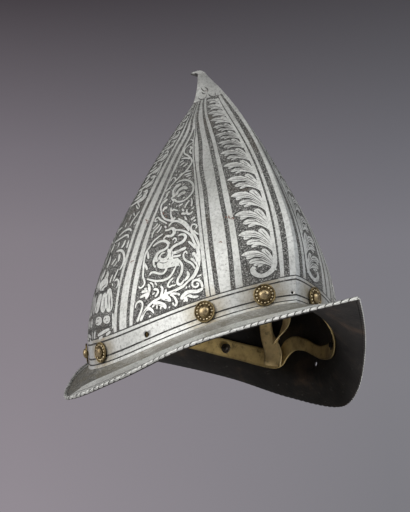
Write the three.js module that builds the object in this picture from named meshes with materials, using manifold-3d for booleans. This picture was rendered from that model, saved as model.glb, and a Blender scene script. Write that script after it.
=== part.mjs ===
// Etched steel cabasset of about 1580 to 1600: a pointed, almond-shaped open helmet for a foot soldier.
// Sizes are in millimetres. +Z is up, the wearer's front is towards -Y and the wearer's left towards +X.
// The origin is below the middle of the bowl, on the surface that the brim stands on.

import * as THREE from 'three';
import { mergeVertices } from 'three/addons/utils/BufferGeometryUtils.js';
import Module from 'manifold-3d';

const wasm = await Module();
wasm.setup();

const { Vector3, BufferGeometry, Float32BufferAttribute } = THREE;
const GAP = 0.3; // clearance between pieces that touch
const PLATE = 1.6; // thickness of the steel
const COLUMNS = 11; // facets in a quarter of the bowl

// The bowl's horizontal sections, from the root of the brim to the hook of the stalk. Each row has the height
// above the root at the side, how far the section's middle lies behind the axis, how far the section leans
// back in degrees, its half length and its half width.
const SECTIONS = [
  [0, 0, 0, 128, 90],
  [24.5, 0, 0, 128, 93],
  [49, 0, 0, 125.2, 91],
  [73.5, 0, 0, 117.6, 85],
  [100, 0, 0, 104.4, 75.4],
  [127, 0, 0, 88.5, 62.3],
  [156, 0, 0, 68.4, 46.8],
  [185, 0.5, 0, 45, 28.6],
  [207, 1.6, 0, 24.5, 14.1],
  [218, 4.2, 0, 15.5, 10.4],
  [226, 8.6, 0, 9.9, 7.7],
  [232, 13.3, 0, 6.4, 5.3],
  [236.5, 17.5, 10, 4.4, 3.4],
  [238.6, 22.5, 35, 3.2, 2.7],
  [240.2, 28, 62, 2.1, 1.9],
  [241.9, 33.5, 80, 1.4, 1.3],
];
const STALK_TIP = [38.6, 242.7]; // how far the hook's tip lies behind the axis, and its height
const HOLLOW_TOP = 205; // height of the last section that is hollow

// The root of the brim and the brim's edge rise from the sides to the front and the rear, like a boat's rail.
const SIDE_ROOT_Z = 22.2;
const FRONT_ROOT_RISE = 35.6;
const ROOT_ROUND = 0.524; // how gently the root turns upward at the side
const LEVEL_HEIGHT = 223; // height at which the sections have become level
const EDGE_Z = 1.2; // middle of the roped edge at the side, its lowest place
const FRONT_PEAK = { reach: 202, rise: [0, 9.8, 27.7, 40.1, 50.3] };
const REAR_PEAK = { reach: 202, rise: [0, 9.8, 27.7, 42.5, 55] };
const BRIM_HALF_WIDTH = 110;
const BRIM_SAG = 1.5; // the brim is slightly dished
const FILLET = 5; // the bowl turns into the brim over this length
const ROPE_RADIUS = 1.7; // the plate's turned edge
const REST_CUT = 0.5; // the roped edge is worn flat by this much where the helmet stands

// How the plan of a quarter swells: shares cut off at the ridge and at the side, and the weight of the arc.
const PLAN_AT_ROOT = { ridgeCut: 0.175, sideCut: 0.092, weight: 0.684 };
const PLAN_AT_TOP = { ridgeCut: 0.533, sideCut: 0.21, weight: 0.684 };
const PLAN_OF_BRIM = { ridgeCut: 0.693, sideCut: 0.051, weight: 0.892 };

// Lining rivets: their places as shares of the way from the front ridge to the rear one, on each side.
const RIVET_HEIGHT = 10.4; // above the root of the brim
const RIVET_SHARES = {
  right: [0.062, 0.184, 0.325, 0.471, 0.617, 0.77, 0.925],
  left: [0.058, 0.186, 0.328, 0.504, 0.625, 0.783, 0.925],
};
const EMPTY_HOLES = ['right_3', 'left_4'];
const SHANK_RADIUS = 1.7;
const HOLE_RADIUS = SHANK_RADIUS + GAP;
const SMALL_HOLE = { share: 0.008, height: 8.8, radius: 0.8 };
const ROSETTE = { radius: 7.4, thickness: 1.0 };
const HEAD = { radius: 3.4, height: 2.3 };
const ROVE = { radius: 4.2, thickness: 0.9 };

// Lining leathers.
const BAND = { width: 13, thickness: 1.8, bottom: 4 };
const STRAP = { width: 15, thickness: 1.7 };
const ROVE_DEPTH = PLATE + GAP + BAND.thickness + 2 * GAP; // from the outer face, past the band's hollow curve
const TIE = { width: 8, thickness: 1.5 };

const paint = (colour, roughness, metalness) => new THREE.MeshStandardMaterial({ color: colour, roughness, metalness });
const STEEL = () => paint(0xc9ccc8, 0.38, 0.9);
const BRASS = () => paint(0xa8874f, 0.42, 0.9);
const IRON = () => paint(0x4a4642, 0.6, 0.8);
const LEATHER = () => paint(0xc2ad7c, 0.9, 0);

const sectionTable = new THREE.CubicInterpolant(
  Float32Array.from(SECTIONS, (row) => row[0]),
  Float32Array.from(SECTIONS.flatMap((row) => row)),
  5,
);

function sectionAt(height) {
  const [level, back, lean, halfLength, halfWidth] = sectionTable.evaluate(height);
  return { level, back, lean: THREE.MathUtils.degToRad(lean), halfLength, halfWidth };
}

// A place round the helmet is a number from 0 to 4: 0 is the front ridge, 1 the wearer's right side, 2 the rear
// ridge and 3 the left side. It gives the quarter's own share, from ridge to side, and the quarter's signs.
function quarter(place) {
  const turn = ((place % 4) + 4) % 4;
  const share = turn % 2 <= 1 ? turn % 2 : 2 - (turn % 2);
  return { share, across: turn < 2 ? -1 : 1, ahead: turn <= 1 || turn > 3 ? 1 : -1 };
}

// One quarter of a plan: a conic arc from the ridge at the half length to the side at the half width.
function planPoint(halfLength, halfWidth, plan, share) {
  const near = (1 - share) ** 2;
  const middle = 2 * plan.weight * share * (1 - share);
  const far = share ** 2;
  const sum = near + middle + far;
  return {
    across: (middle * halfWidth * (1 - plan.sideCut) + far * halfWidth) / sum,
    ahead: (near * halfLength + middle * halfLength * (1 - plan.ridgeCut)) / sum,
  };
}

function wallPoint(place, height) {
  const { share, across, ahead } = quarter(place);
  const section = sectionAt(height);
  const blend = Math.min(1, Math.max(0, height / LEVEL_HEIGHT));
  const plan = {
    ridgeCut: THREE.MathUtils.lerp(PLAN_AT_ROOT.ridgeCut, PLAN_AT_TOP.ridgeCut, blend),
    sideCut: THREE.MathUtils.lerp(PLAN_AT_ROOT.sideCut, PLAN_AT_TOP.sideCut, blend),
    weight: PLAN_AT_ROOT.weight,
  };
  const point = planPoint(section.halfLength, section.halfWidth, plan, share);
  const reach = point.ahead / section.halfLength;
  const rail = (Math.hypot(reach, ROOT_ROUND) - ROOT_ROUND) / (Math.hypot(1, ROOT_ROUND) - ROOT_ROUND);
  const rise = FRONT_ROOT_RISE * rail * (1 - blend);
  const forward = point.ahead * ahead;
  return new Vector3(
    point.across * across,
    section.back - forward * Math.cos(section.lean),
    SIDE_ROOT_Z + section.level + rise + forward * Math.sin(section.lean),
  );
}

const peakRise = new Map([FRONT_PEAK, REAR_PEAK].map((peak) => {
  const mirrored = [...peak.rise.slice(1).reverse(), ...peak.rise];
  const shares = mirrored.map((_, i) => (i - 4) / 4);
  return [peak, new THREE.CubicInterpolant(Float32Array.from(shares), Float32Array.from(mirrored), 1)];
}));

function edgePoint(place) {
  const { share, across, ahead } = quarter(place);
  const peak = ahead > 0 ? FRONT_PEAK : REAR_PEAK;
  const point = planPoint(peak.reach, BRIM_HALF_WIDTH, PLAN_OF_BRIM, share);
  const [rise] = peakRise.get(peak).evaluate(point.ahead / peak.reach);
  return new Vector3(point.across * across, -point.ahead * ahead, EDGE_Z + rise);
}

function brimPoint(place, share) {
  const point = wallPoint(place, 0).lerp(edgePoint(place), share);
  point.z -= BRIM_SAG * 4 * share * (1 - share);
  return point;
}

// The outer face as one sheet. The step runs down the wall as minus the height, turns through the fillet between
// minus FILLET and FILLET, and crosses the brim in one more unit.
function facePoint(place, step) {
  if (step <= -FILLET) return wallPoint(place, -step);
  const width = wallPoint(place, 0).distanceTo(edgePoint(place));
  const start = FILLET / width;
  if (step >= FILLET) return brimPoint(place, start + (step - FILLET) * (1 - start));
  const t = (step + FILLET) / (2 * FILLET);
  const above = wallPoint(place, FILLET).multiplyScalar((1 - t) ** 2);
  const root = wallPoint(place, 0).multiplyScalar(2 * t * (1 - t));
  return brimPoint(place, start).multiplyScalar(t ** 2).add(root).add(above);
}

function outward(place, step) {
  const small = 0.01;
  const round = facePoint(place + small, step).sub(facePoint(place - small, step));
  const down = facePoint(place, step + small).sub(facePoint(place, step - small));
  return round.cross(down).normalize();
}

// A point of the outer face moved inward, square to it.
const inside = (place, step, depth) => facePoint(place, step).addScaledVector(outward(place, step), -depth);

function ropeRing(angle) {
  return (place) => {
    const small = 0.01;
    const edge = edgePoint(place);
    const along = edgePoint(place + small).sub(edgePoint(place - small)).normalize();
    const out = edge.clone().sub(brimPoint(place, 0.9));
    out.addScaledVector(along, -out.dot(along)).normalize();
    const up = along.clone().cross(out);
    return edge.addScaledVector(out, ROPE_RADIUS * Math.cos(angle)).addScaledVector(up, ROPE_RADIUS * Math.sin(angle));
  };
}

function indexed(points, triangles) {
  const geometry = new BufferGeometry();
  geometry.setAttribute('position', new Float32BufferAttribute(points.flatMap((p) => [p.x, p.y, p.z]), 3));
  geometry.setIndex(triangles);
  return geometry;
}

// Joins rings of points, from a first tip to a last one, into one closed skin.
function skin(firstTip, rings, lastTip) {
  const count = rings[0].length;
  const points = [firstTip, ...rings.flat(), lastTip];
  const triangles = [];
  for (let i = 0; i < count; i++) {
    const next = (i + 1) % count;
    triangles.push(0, 1 + next, 1 + i);
    for (let ring = 0; ring < rings.length - 1; ring++) {
      const a = 1 + ring * count;
      const b = a + count;
      triangles.push(a + i, a + next, b + i, a + next, b + next, b + i);
    }
    const last = 1 + (rings.length - 1) * count;
    triangles.push(last + i, last + next, points.length - 1);
  }
  return indexed(points, triangles);
}

function toSolid(geometry) {
  const bare = geometry.clone();
  bare.deleteAttribute('normal');
  bare.deleteAttribute('uv');
  const merged = mergeVertices(bare, 1e-4);
  return new wasm.Manifold(new wasm.Mesh({
    numProp: 3,
    vertProperties: Float32Array.from(merged.attributes.position.array),
    triVerts: Uint32Array.from(merged.index.array),
  }));
}

function fromSolid(solid) {
  const mesh = solid.getMesh();
  const geometry = new BufferGeometry();
  geometry.setAttribute('position', new Float32BufferAttribute(mesh.vertProperties, 3));
  geometry.setIndex(Array.from(mesh.triVerts));
  geometry.computeVertexNormals();
  return geometry;
}

// Finds the place round the bowl that lies a given share of the way from the front ridge to the rear one.
function placeOfShare(side, share, height) {
  const parts = 200;
  const lengths = [0];
  let previous = wallPoint(0, height);
  for (let i = 1; i <= parts; i++) {
    const point = wallPoint((2 * i) / parts, height);
    lengths.push(lengths[i - 1] + point.distanceTo(previous));
    previous = point;
  }
  const target = share * lengths[parts];
  const i = lengths.findIndex((length) => length >= target);
  const place = (2 * (i - (lengths[i] - target) / (lengths[i] - lengths[i - 1]))) / parts;
  return side === 'right' ? place : 4 - place;
}

// A flat rosette on the curved wall stands off by as much as the wall swells under it.
function standOff(place, point, normal) {
  const turn = (ROSETTE.radius / facePoint(place + 0.5, -RIVET_HEIGHT).distanceTo(point)) * 0.5;
  let most = 0;
  for (let i = 0; i < 24; i++) {
    const angle = (i / 24) * 2 * Math.PI;
    const near = facePoint(place + turn * Math.cos(angle), -RIVET_HEIGHT + ROSETTE.radius * Math.sin(angle));
    most = Math.max(most, near.sub(point).dot(normal));
  }
  return most;
}

const stations = Object.entries(RIVET_SHARES).flatMap(([side, shares]) => shares.map((share, i) => {
  const place = placeOfShare(side, share, RIVET_HEIGHT);
  const point = facePoint(place, -RIVET_HEIGHT);
  const normal = outward(place, -RIVET_HEIGHT);
  return { name: `${side}_${i + 1}`, point, normal, seat: GAP + standOff(place, point, normal) };
}));

const AXIS = new Vector3(0, 0, 1);

function drill(point, normal, radius) {
  const hole = new THREE.CylinderGeometry(radius, radius, 12, 10).rotateX(Math.PI / 2);
  hole.applyQuaternion(new THREE.Quaternion().setFromUnitVectors(AXIS, normal));
  return toSolid(hole.translate(point.x, point.y, point.z));
}

function makeSkull() {
  const places = Array.from({ length: 4 * COLUMNS }, (_, i) => i / COLUMNS);
  const ring = (make) => places.map(make);
  const wallHeights = [241.9, 240.2, 238.6, 236.5, 232, 226, 218, 207, 196, 185, 170, 156, 141, 127, 113, 100, 86,
    73.5, 61, 49, 36, 24.5, 14, FILLET];
  const filletSteps = [-0.5, 0, 0.5].map((share) => share * FILLET);
  const brimSteps = [0, 0.3, 0.6, 0.85].map((share) => FILLET + share);
  const ropeAngles = [150, 90, 30, -30, -90, -150].map(THREE.MathUtils.degToRad);
  const outerSteps = [...wallHeights.map((height) => -height), ...filletSteps, ...brimSteps];
  const innerSteps = outerSteps.filter((step) => -step <= HOLLOW_TOP + 2).reverse();
  const innerTop = -Math.min(...innerSteps);
  const rings = [
    ...outerSteps.map((step) => ring((place) => facePoint(place, step))),
    ...ropeAngles.map((angle) => ring(ropeRing(angle))),
    ...innerSteps.map((step) => ring((place) => inside(place, step, PLATE))),
  ];
  const innerMiddle = sectionAt(innerTop);
  const innerTip = new Vector3(0, innerMiddle.back, SIDE_ROOT_Z + innerTop);
  const tip = new Vector3(0, STALK_TIP[0], SIDE_ROOT_Z + STALK_TIP[1]);
  let body = toSolid(skin(tip, rings, innerTip));
  for (const station of stations) body = body.subtract(drill(station.point, station.normal, HOLE_RADIUS));
  const smallPlace = placeOfShare('right', SMALL_HOLE.share, SMALL_HOLE.height);
  const smallPoint = facePoint(smallPlace, -SMALL_HOLE.height);
  body = body.subtract(drill(smallPoint, outward(smallPlace, -SMALL_HOLE.height), SMALL_HOLE.radius));
  const floorBlock = new THREE.BoxGeometry(500, 500, 20).translate(0, 0, -10 + EDGE_Z - ROPE_RADIUS + REST_CUT);
  return fromSolid(body.subtract(toSolid(floorBlock)));
}

// A turned piece: the outline is given as radius and height, and the axis becomes Z.
function turned(outline, sides) {
  return new THREE.LatheGeometry(outline.map(([r, z]) => new THREE.Vector2(r, z)), sides).rotateX(Math.PI / 2);
}

function rosetteGeometry() {
  const { radius, thickness } = ROSETTE;
  const bore = HOLE_RADIUS;
  return turned([[bore, 0], [radius - 0.5, 0], [radius, 0.5], [radius - 0.9, thickness + 0.5],
    [radius - 2.1, thickness + 0.5], [radius - 3, thickness - 0.1], [bore, thickness - 0.1], [bore, 0]], 14);
}

function rivetGeometry(rosetteSeat) {
  const seat = rosetteSeat + ROSETTE.thickness + GAP;
  const roveFace = -(ROVE_DEPTH + ROVE.thickness + GAP);
  return turned([[0, roveFace - 1.2], [1.7, roveFace - 0.9], [2.3, roveFace], [SHANK_RADIUS, roveFace],
    [SHANK_RADIUS, seat], [HEAD.radius, seat], [HEAD.radius * 0.87, seat + HEAD.height * 0.5],
    [HEAD.radius * 0.5, seat + HEAD.height * 0.87], [0, seat + HEAD.height]], 8);
}

function roveGeometry() {
  return turned([[HOLE_RADIUS, 0], [ROVE.radius, 0], [ROVE.radius, ROVE.thickness], [HOLE_RADIUS, ROVE.thickness],
    [HOLE_RADIUS, 0]], 10);
}

// A strap: a rectangular section carried along frames, each with its middle, its direction across and its face.
function ribbon(frames, width, thickness) {
  const points = [];
  const triangles = [];
  for (const { middle, across, face } of frames) {
    for (const [w, t] of [[-1, -1], [1, -1], [1, 1], [-1, 1]]) {
      const point = middle.clone().addScaledVector(across, (w * width) / 2);
      points.push(point.addScaledVector(face, (t * thickness) / 2));
    }
  }
  const last = 4 * (frames.length - 1);
  for (let a = 0; a < last; a += 4) {
    for (let i = 0; i < 4; i++) {
      const j = (i + 1) % 4;
      triangles.push(a + i, a + j, a + 4 + i, a + j, a + 4 + j, a + 4 + i);
    }
  }
  triangles.push(0, 2, 1, 0, 3, 2, last, last + 1, last + 2, last, last + 2, last + 3);
  const geometry = indexed(points, triangles);
  if (toSolidVolume(geometry) < 0) {
    geometry.setIndex(triangles.map((_, i) => triangles[i - (i % 3) + [0, 2, 1][i % 3]]));
  }
  return geometry;
}

function toSolidVolume(geometry) {
  const points = geometry.attributes.position;
  const corner = (i) => new Vector3().fromBufferAttribute(points, geometry.index.getX(i));
  let sum = 0;
  for (let i = 0; i < geometry.index.count; i += 3) sum += corner(i).dot(corner(i + 1).cross(corner(i + 2)));
  return sum / 6;
}

// A frame of a strap that lies on the inner face of the wall, raised by lift and pushed towards the head by slack.
function liningFrame(place, height, depth, lift = 0, slack = 0) {
  const low = inside(place, -(height - BAND.width / 2), depth);
  const high = inside(place, -(height + BAND.width / 2), depth);
  const face = outward(place, -height);
  const middle = low.clone().lerp(high, 0.5).addScaledVector(face, -slack);
  middle.z += lift;
  return { middle, across: high.sub(low).normalize(), face };
}

// The band lies on whole facets of the bowl, so its frames stand at the same places as the bowl's columns.
function bandFrames(side, slackness) {
  const depth = PLATE + GAP + BAND.thickness / 2;
  const height = BAND.bottom + BAND.width / 2;
  const frames = [];
  for (let i = 0; i <= 2 * COLUMNS; i++) {
    const share = Math.min(2 - 0.03, Math.max(0.03, i / COLUMNS));
    const place = side === 'right' ? share : 4 - share;
    const { lift, slack } = slackness(share);
    frames.push(liningFrame(place, height, depth, lift, slack));
  }
  return frames;
}

const TAUT = () => ({ lift: 0, slack: 0 });

// The left band has torn off its fourth rivet, so between two of the bowl's places it stands up and inward.
const LOOSE = { from: 0.73, to: 1.18, lift: 13, slack: 5 };

function looseBand(share) {
  const way = (share - LOOSE.from) / (LOOSE.to - LOOSE.from);
  if (way <= 0 || way >= 1) return TAUT();
  const swell = Math.sin(Math.PI * way) ** 2;
  return { lift: LOOSE.lift * swell * way * 1.4, slack: LOOSE.slack * swell };
}

// The crown strap rises from the left band along the wall, crosses under the top of the bowl and comes down on the
// right. The tie strap rises beside it, further forward, and ends under its middle.
const CROWN = { place: 1.35, foot: [3, 14, 26, 44, 66, 86, 100], depth: 5.6 };
const TIE_PATH = { place: 1.2, foot: [19, 34, 54, 76, 96], depth: 8.4 };
const ARCH = { top: 168, back: 26, shoulderShare: 0.55 };

function wallFrame(place, height, depth) {
  const small = 0.01;
  const middle = inside(place, -height, depth);
  const across = inside(place + small, -height, depth).sub(inside(place - small, -height, depth)).normalize();
  return { middle, across, face: outward(place, -height) };
}

// From a strap's last frame on the wall to the middle of the arch, a curve that starts upward and ends level.
function archFrames(shoulder, top, ways) {
  const start = shoulder.middle;
  const bend = new Vector3(start.x * ARCH.shoulderShare, (start.y + ARCH.back) / 2, top);
  const end = new Vector3(0, ARCH.back, top);
  const curve = new THREE.QuadraticBezierCurve3(start, bend, end);
  return ways.map((way) => {
    const along = curve.getTangent(way);
    const across = shoulder.across.clone().lerp(new Vector3(0, shoulder.across.y < 0 ? -1 : 1, 0), way);
    across.addScaledVector(along, -across.dot(along)).normalize();
    const face = across.clone().cross(along).normalize();
    if (face.z < 0) face.negate();
    return { middle: curve.getPoint(way), across, face };
  });
}

function crownFrames() {
  const wall = CROWN.foot.map((height, i) => wallFrame(4 - CROWN.place, height, CROWN.depth + 0.1 * i));
  const half = [...wall, ...archFrames(wall[wall.length - 1], ARCH.top, [0.25, 0.5, 0.75])];
  const middle = archFrames(wall[wall.length - 1], ARCH.top, [1]);
  const mirror = (v) => new Vector3(-v.x, v.y, v.z);
  const other = half.map((frame) => ({
    middle: mirror(frame.middle), across: mirror(frame.across), face: mirror(frame.face) }));
  return [...half, ...middle, ...other.reverse()];
}

function tieFrames() {
  const wall = TIE_PATH.foot.map((height) => wallFrame(4 - TIE_PATH.place, height, TIE_PATH.depth));
  const below = STRAP.thickness / 2 + TIE.thickness / 2 + GAP + 3;
  return [...wall, ...archFrames(wall[wall.length - 1], ARCH.top - below, [0.25, 0.5, 0.75, 1])];
}

function named(name, geometry, material) {
  const mesh = new THREE.Mesh(geometry, material);
  mesh.name = name;
  return mesh;
}

function atStation(mesh, station, depth) {
  mesh.position.copy(station.point).addScaledVector(station.normal, depth);
  mesh.quaternion.setFromUnitVectors(AXIS, station.normal);
  return mesh;
}

const cabasset = new THREE.Group();
cabasset.add(named('skull', makeSkull(), STEEL()));

const fittings = new THREE.Group();
for (const station of stations) {
  if (EMPTY_HOLES.includes(station.name)) continue;
  const roveDepth = -(ROVE_DEPTH + ROVE.thickness);
  fittings.add(atStation(named(`rosette_${station.name}`, rosetteGeometry(), BRASS()), station, station.seat));
  fittings.add(atStation(named(`rivet_${station.name}`, rivetGeometry(station.seat), BRASS()), station, 0));
  fittings.add(atStation(named(`rove_${station.name}`, roveGeometry(), IRON()), station, roveDepth));
}
cabasset.add(fittings);

function pierced(geometry, side) {
  let solid = toSolid(geometry);
  for (const station of stations) {
    if (station.name.startsWith(side)) solid = solid.subtract(drill(station.point, station.normal, HOLE_RADIUS));
  }
  return fromSolid(solid);
}

const lining = new THREE.Group();
const bandRight = ribbon(bandFrames('right', TAUT), BAND.width, BAND.thickness);
const bandLeft = ribbon(bandFrames('left', looseBand), BAND.width, BAND.thickness);
lining.add(named('lining_band_right', pierced(bandRight, 'right'), LEATHER()));
lining.add(named('lining_band_left', pierced(bandLeft, 'left'), LEATHER()));
lining.add(named('crown_strap', ribbon(crownFrames(), STRAP.width, STRAP.thickness), LEATHER()));
lining.add(named('tie_strap', ribbon(tieFrames(), TIE.width, TIE.thickness), LEATHER()));
cabasset.add(lining);

export default cabasset;
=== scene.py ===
# %% [markdown]
# # An etched cabasset
# A cabasset is the open helmet of a foot soldier of about 1580 to 1600: one tall almond of steel with a
# keel from front to back, a narrow brim whose edge is rolled and filed like a rope, and bands of etched
# ornament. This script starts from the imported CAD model, keeps its frame, and dresses it piece by piece.

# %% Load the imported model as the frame
import math
from functools import partial
import bmesh
import bpy
import numpy as np
from mathutils import Matrix, Vector


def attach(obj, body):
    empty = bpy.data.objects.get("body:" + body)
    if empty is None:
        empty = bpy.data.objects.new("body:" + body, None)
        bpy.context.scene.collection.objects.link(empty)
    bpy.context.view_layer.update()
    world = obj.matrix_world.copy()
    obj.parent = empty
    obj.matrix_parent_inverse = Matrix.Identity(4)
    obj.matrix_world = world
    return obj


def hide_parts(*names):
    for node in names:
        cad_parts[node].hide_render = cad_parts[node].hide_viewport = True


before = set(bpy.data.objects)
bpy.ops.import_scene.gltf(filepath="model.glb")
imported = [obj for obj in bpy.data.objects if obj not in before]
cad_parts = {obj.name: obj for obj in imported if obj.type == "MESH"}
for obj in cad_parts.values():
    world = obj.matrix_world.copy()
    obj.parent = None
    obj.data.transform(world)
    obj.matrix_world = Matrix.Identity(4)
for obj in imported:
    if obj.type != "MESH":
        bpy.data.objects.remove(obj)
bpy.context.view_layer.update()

# %% [markdown]
# ## The bowl as a formula
# The bowl has no straight line in it, so every piece that lies on it, from the plate itself to the finest
# etched leaf, asks one pair of functions where the steel is. The values are the same as in the CAD source,
# in millimetres. A place runs from 0 at the front keel over 1 at the wearer's right side, 2 at the rear
# keel and 3 at the left side, back to 4.

# %% The bowl's sections and the brim's outline
GAP = 0.3
PLATE = 1.6
FILLET = 5
SIDE_ROOT_Z = 22.2
FRONT_ROOT_RISE = 35.6
ROOT_ROUND = 0.524
LEVEL_HEIGHT = 223
EDGE_Z = 1.2
BRIM_REACH = 202
BRIM_HALF_WIDTH = 110
BRIM_SAG = 1.5
SECTIONS = np.array([  # height, how far back, lean in degrees, half length, half width
    [0, 0, 0, 128, 90], [24.5, 0, 0, 128, 93], [49, 0, 0, 125.2, 91], [73.5, 0, 0, 117.6, 85],
    [100, 0, 0, 104.4, 75.4], [127, 0, 0, 88.5, 62.3], [156, 0, 0, 68.4, 46.8], [185, 0.5, 0, 45, 28.6],
    [207, 1.6, 0, 24.5, 14.1], [218, 4.2, 0, 15.5, 10.4], [226, 8.6, 0, 9.9, 7.7], [232, 13.3, 0, 6.4, 5.3],
    [236.5, 17.5, 10, 4.4, 3.4], [238.6, 22.5, 35, 3.2, 2.7], [240.2, 28, 62, 2.1, 1.9],
    [241.9, 33.5, 80, 1.4, 1.3]])
STALK_TIP = np.array([0, 38.6, SIDE_ROOT_Z + 242.7])
PLAN_AT_ROOT = np.array([0.175, 0.092])  # how much the ridge and the side cut off the quarter's corner
PLAN_AT_TOP = np.array([0.533, 0.21])
PLAN_WEIGHT = 0.684
BRIM_PLAN = np.array([0.693, 0.051])
BRIM_WEIGHT = 0.892
FRONT_RISE = [50.3, 40.1, 27.7, 9.8, 0, 9.8, 27.7, 40.1, 50.3]
REAR_RISE = [55, 42.5, 27.7, 9.8, 0, 9.8, 27.7, 42.5, 55]
NEARBY = 0.01  # how far apart two places or steps lie when a direction is read from them
FLOOR_CLEARANCE = 0.02


def smooth_through(knots, rows):
    """A curve through rows of values, whose slope at each knot is the mean of its two neighbours."""
    knots, rows = np.asarray(knots, float), np.asarray(rows, float)
    secants = np.diff(rows, axis=0) / np.diff(knots).reshape(-1, *[1] * (rows.ndim - 1))
    slopes = np.concatenate([secants[:1], (secants[1:] + secants[:-1]) / 2, secants[-1:]])

    def at(x):
        x = np.clip(x, knots[0], knots[-1])
        i = np.clip(np.searchsorted(knots, x, side="right") - 1, 0, len(knots) - 2)
        span = knots[i + 1] - knots[i]
        p = (x - knots[i]) / span
        if rows.ndim > 1:
            p, span = p[..., None], span[..., None]
        return (rows[i] * (1 + 2 * p) * (1 - p) ** 2 + rows[i + 1] * p * p * (3 - 2 * p)
                + slopes[i] * span * p * (1 - p) ** 2 - slopes[i + 1] * span * p * p * (1 - p))
    return at


def unit(vectors):
    return vectors / np.linalg.norm(vectors, axis=-1, keepdims=True)


def square_to(vectors, along):
    """Unit vectors at right angles to a line, as near to these as can be."""
    return unit(vectors - (vectors * along).sum(-1, keepdims=True) * along)


def ways_along(points):
    """The way from the first point to each, along the line."""
    return np.concatenate([[0], np.cumsum(np.linalg.norm(np.diff(points, axis=0), axis=1))])


section_at = smooth_through(SECTIONS[:, 0], SECTIONS)
front_rise_at = smooth_through(np.linspace(-1, 1, 9), FRONT_RISE)
rear_rise_at = smooth_through(np.linspace(-1, 1, 9), REAR_RISE)
print("sections of the bowl:", len(SECTIONS))


# %% Where the steel is
def quarter(place):
    turn = np.mod(place, 4)
    half = np.mod(turn, 2)
    share = np.where(half <= 1, half, 2 - half)
    return share, np.where(turn < 2, -1.0, 1.0), np.where((turn <= 1) | (turn > 3), 1.0, -1.0)


def arc(half_length, half_width, ridge_cut, side_cut, weight, share):
    near, middle, far = (1 - share) ** 2, 2 * weight * share * (1 - share), share ** 2
    total = near + middle + far
    return ((middle * half_width * (1 - side_cut) + far * half_width) / total,
            (near * half_length + middle * half_length * (1 - ridge_cut)) / total)


def wall_point(place, height):
    place, height = np.broadcast_arrays(np.asarray(place, float), np.asarray(height, float))
    share, across, ahead = quarter(place)
    level, back, lean, half_length, half_width = np.moveaxis(section_at(height), -1, 0)
    blend = np.clip(height / LEVEL_HEIGHT, 0, 1)
    cut = PLAN_AT_ROOT + (PLAN_AT_TOP - PLAN_AT_ROOT) * blend[..., None]
    x, y = arc(half_length, half_width, cut[..., 0], cut[..., 1], PLAN_WEIGHT, share)
    rail = (np.hypot(y / half_length, ROOT_ROUND) - ROOT_ROUND) / (math.hypot(1, ROOT_ROUND) - ROOT_ROUND)
    forward, lean = y * ahead, np.radians(lean)
    return np.stack([x * across, back - forward * np.cos(lean), SIDE_ROOT_Z + level
                     + FRONT_ROOT_RISE * rail * (1 - blend) + forward * np.sin(lean)], -1)


def edge_point(place):
    share, across, ahead = quarter(np.asarray(place, float))
    x, y = arc(BRIM_REACH, BRIM_HALF_WIDTH, *BRIM_PLAN, BRIM_WEIGHT, share)
    reach = y / BRIM_REACH
    rise = np.where(ahead > 0, front_rise_at(reach), rear_rise_at(reach))
    return np.stack([x * across, -y * ahead, EDGE_Z + rise], -1)


def brim_width(place):
    return np.linalg.norm(wall_point(place, 0) - edge_point(place), axis=-1)


def brim_point(place, share):
    share = np.asarray(share, float)[..., None]
    root = wall_point(place, 0)
    point = root + (edge_point(place) - root) * share
    point[..., 2] -= BRIM_SAG * 4 * share[..., 0] * (1 - share[..., 0])
    return point


def face_point(place, step):
    """The outer face. The step is minus the height on the wall, and FILLET plus the way over the brim."""
    place, step = np.broadcast_arrays(np.asarray(place, float), np.asarray(step, float))
    start = FILLET / brim_width(place)
    on_brim = brim_point(place, np.clip(start + (step - FILLET) * (1 - start), start, None))
    t = np.clip((step + FILLET) / (2 * FILLET), 0, 1)[..., None]
    turn = (wall_point(place, FILLET) * (1 - t) ** 2 + wall_point(place, 0) * 2 * t * (1 - t)
            + brim_point(place, start) * t ** 2)
    on_wall = wall_point(place, np.maximum(-step, FILLET))
    step = step[..., None]
    return np.where(step <= -FILLET, on_wall, np.where(step >= FILLET, on_brim, turn))


def outward(place, step):
    place, step = np.broadcast_arrays(np.asarray(place, float), np.asarray(step, float))
    round_way = face_point(place + NEARBY, step) - face_point(place - NEARBY, step)
    down_way = face_point(place, step + NEARBY) - face_point(place, step - NEARBY)
    return unit(np.cross(round_way, down_way))


def moved_in(place, step, depth):
    return face_point(place, step) - outward(place, step) * np.asarray(depth)[..., None]


print("front of the brim:", edge_point(0.0), "mm; side of the brim:", edge_point(1.0), "mm")

# %% [markdown]
# ## Shares of the way round
# An etcher divides the bowl by eye into strips that narrow towards the point. A strip's border is therefore
# best given as a share of the way from the front keel (0) over the side (0.5) to the rear keel (1),
# measured along the steel at that height. A table turns such a share into a place.

# %% A table of shares
TABLE_STEP = 4.0
TABLE_HEIGHTS = np.arange(0, 240, TABLE_STEP)
TABLE_PLACES = np.linspace(0, 1, 121)
table_points = wall_point(TABLE_PLACES[None, :], TABLE_HEIGHTS[:, None])
table_lengths = np.cumsum(np.linalg.norm(np.diff(table_points, axis=1), axis=-1), axis=1)
QUARTER_LENGTHS = table_lengths[:, -1]
table_shares = np.hstack([np.zeros((len(TABLE_HEIGHTS), 1)), table_lengths / QUARTER_LENGTHS[:, None] / 2])


def half_girth(height):
    return 2 * np.interp(height, TABLE_HEIGHTS, QUARTER_LENGTHS)


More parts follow.
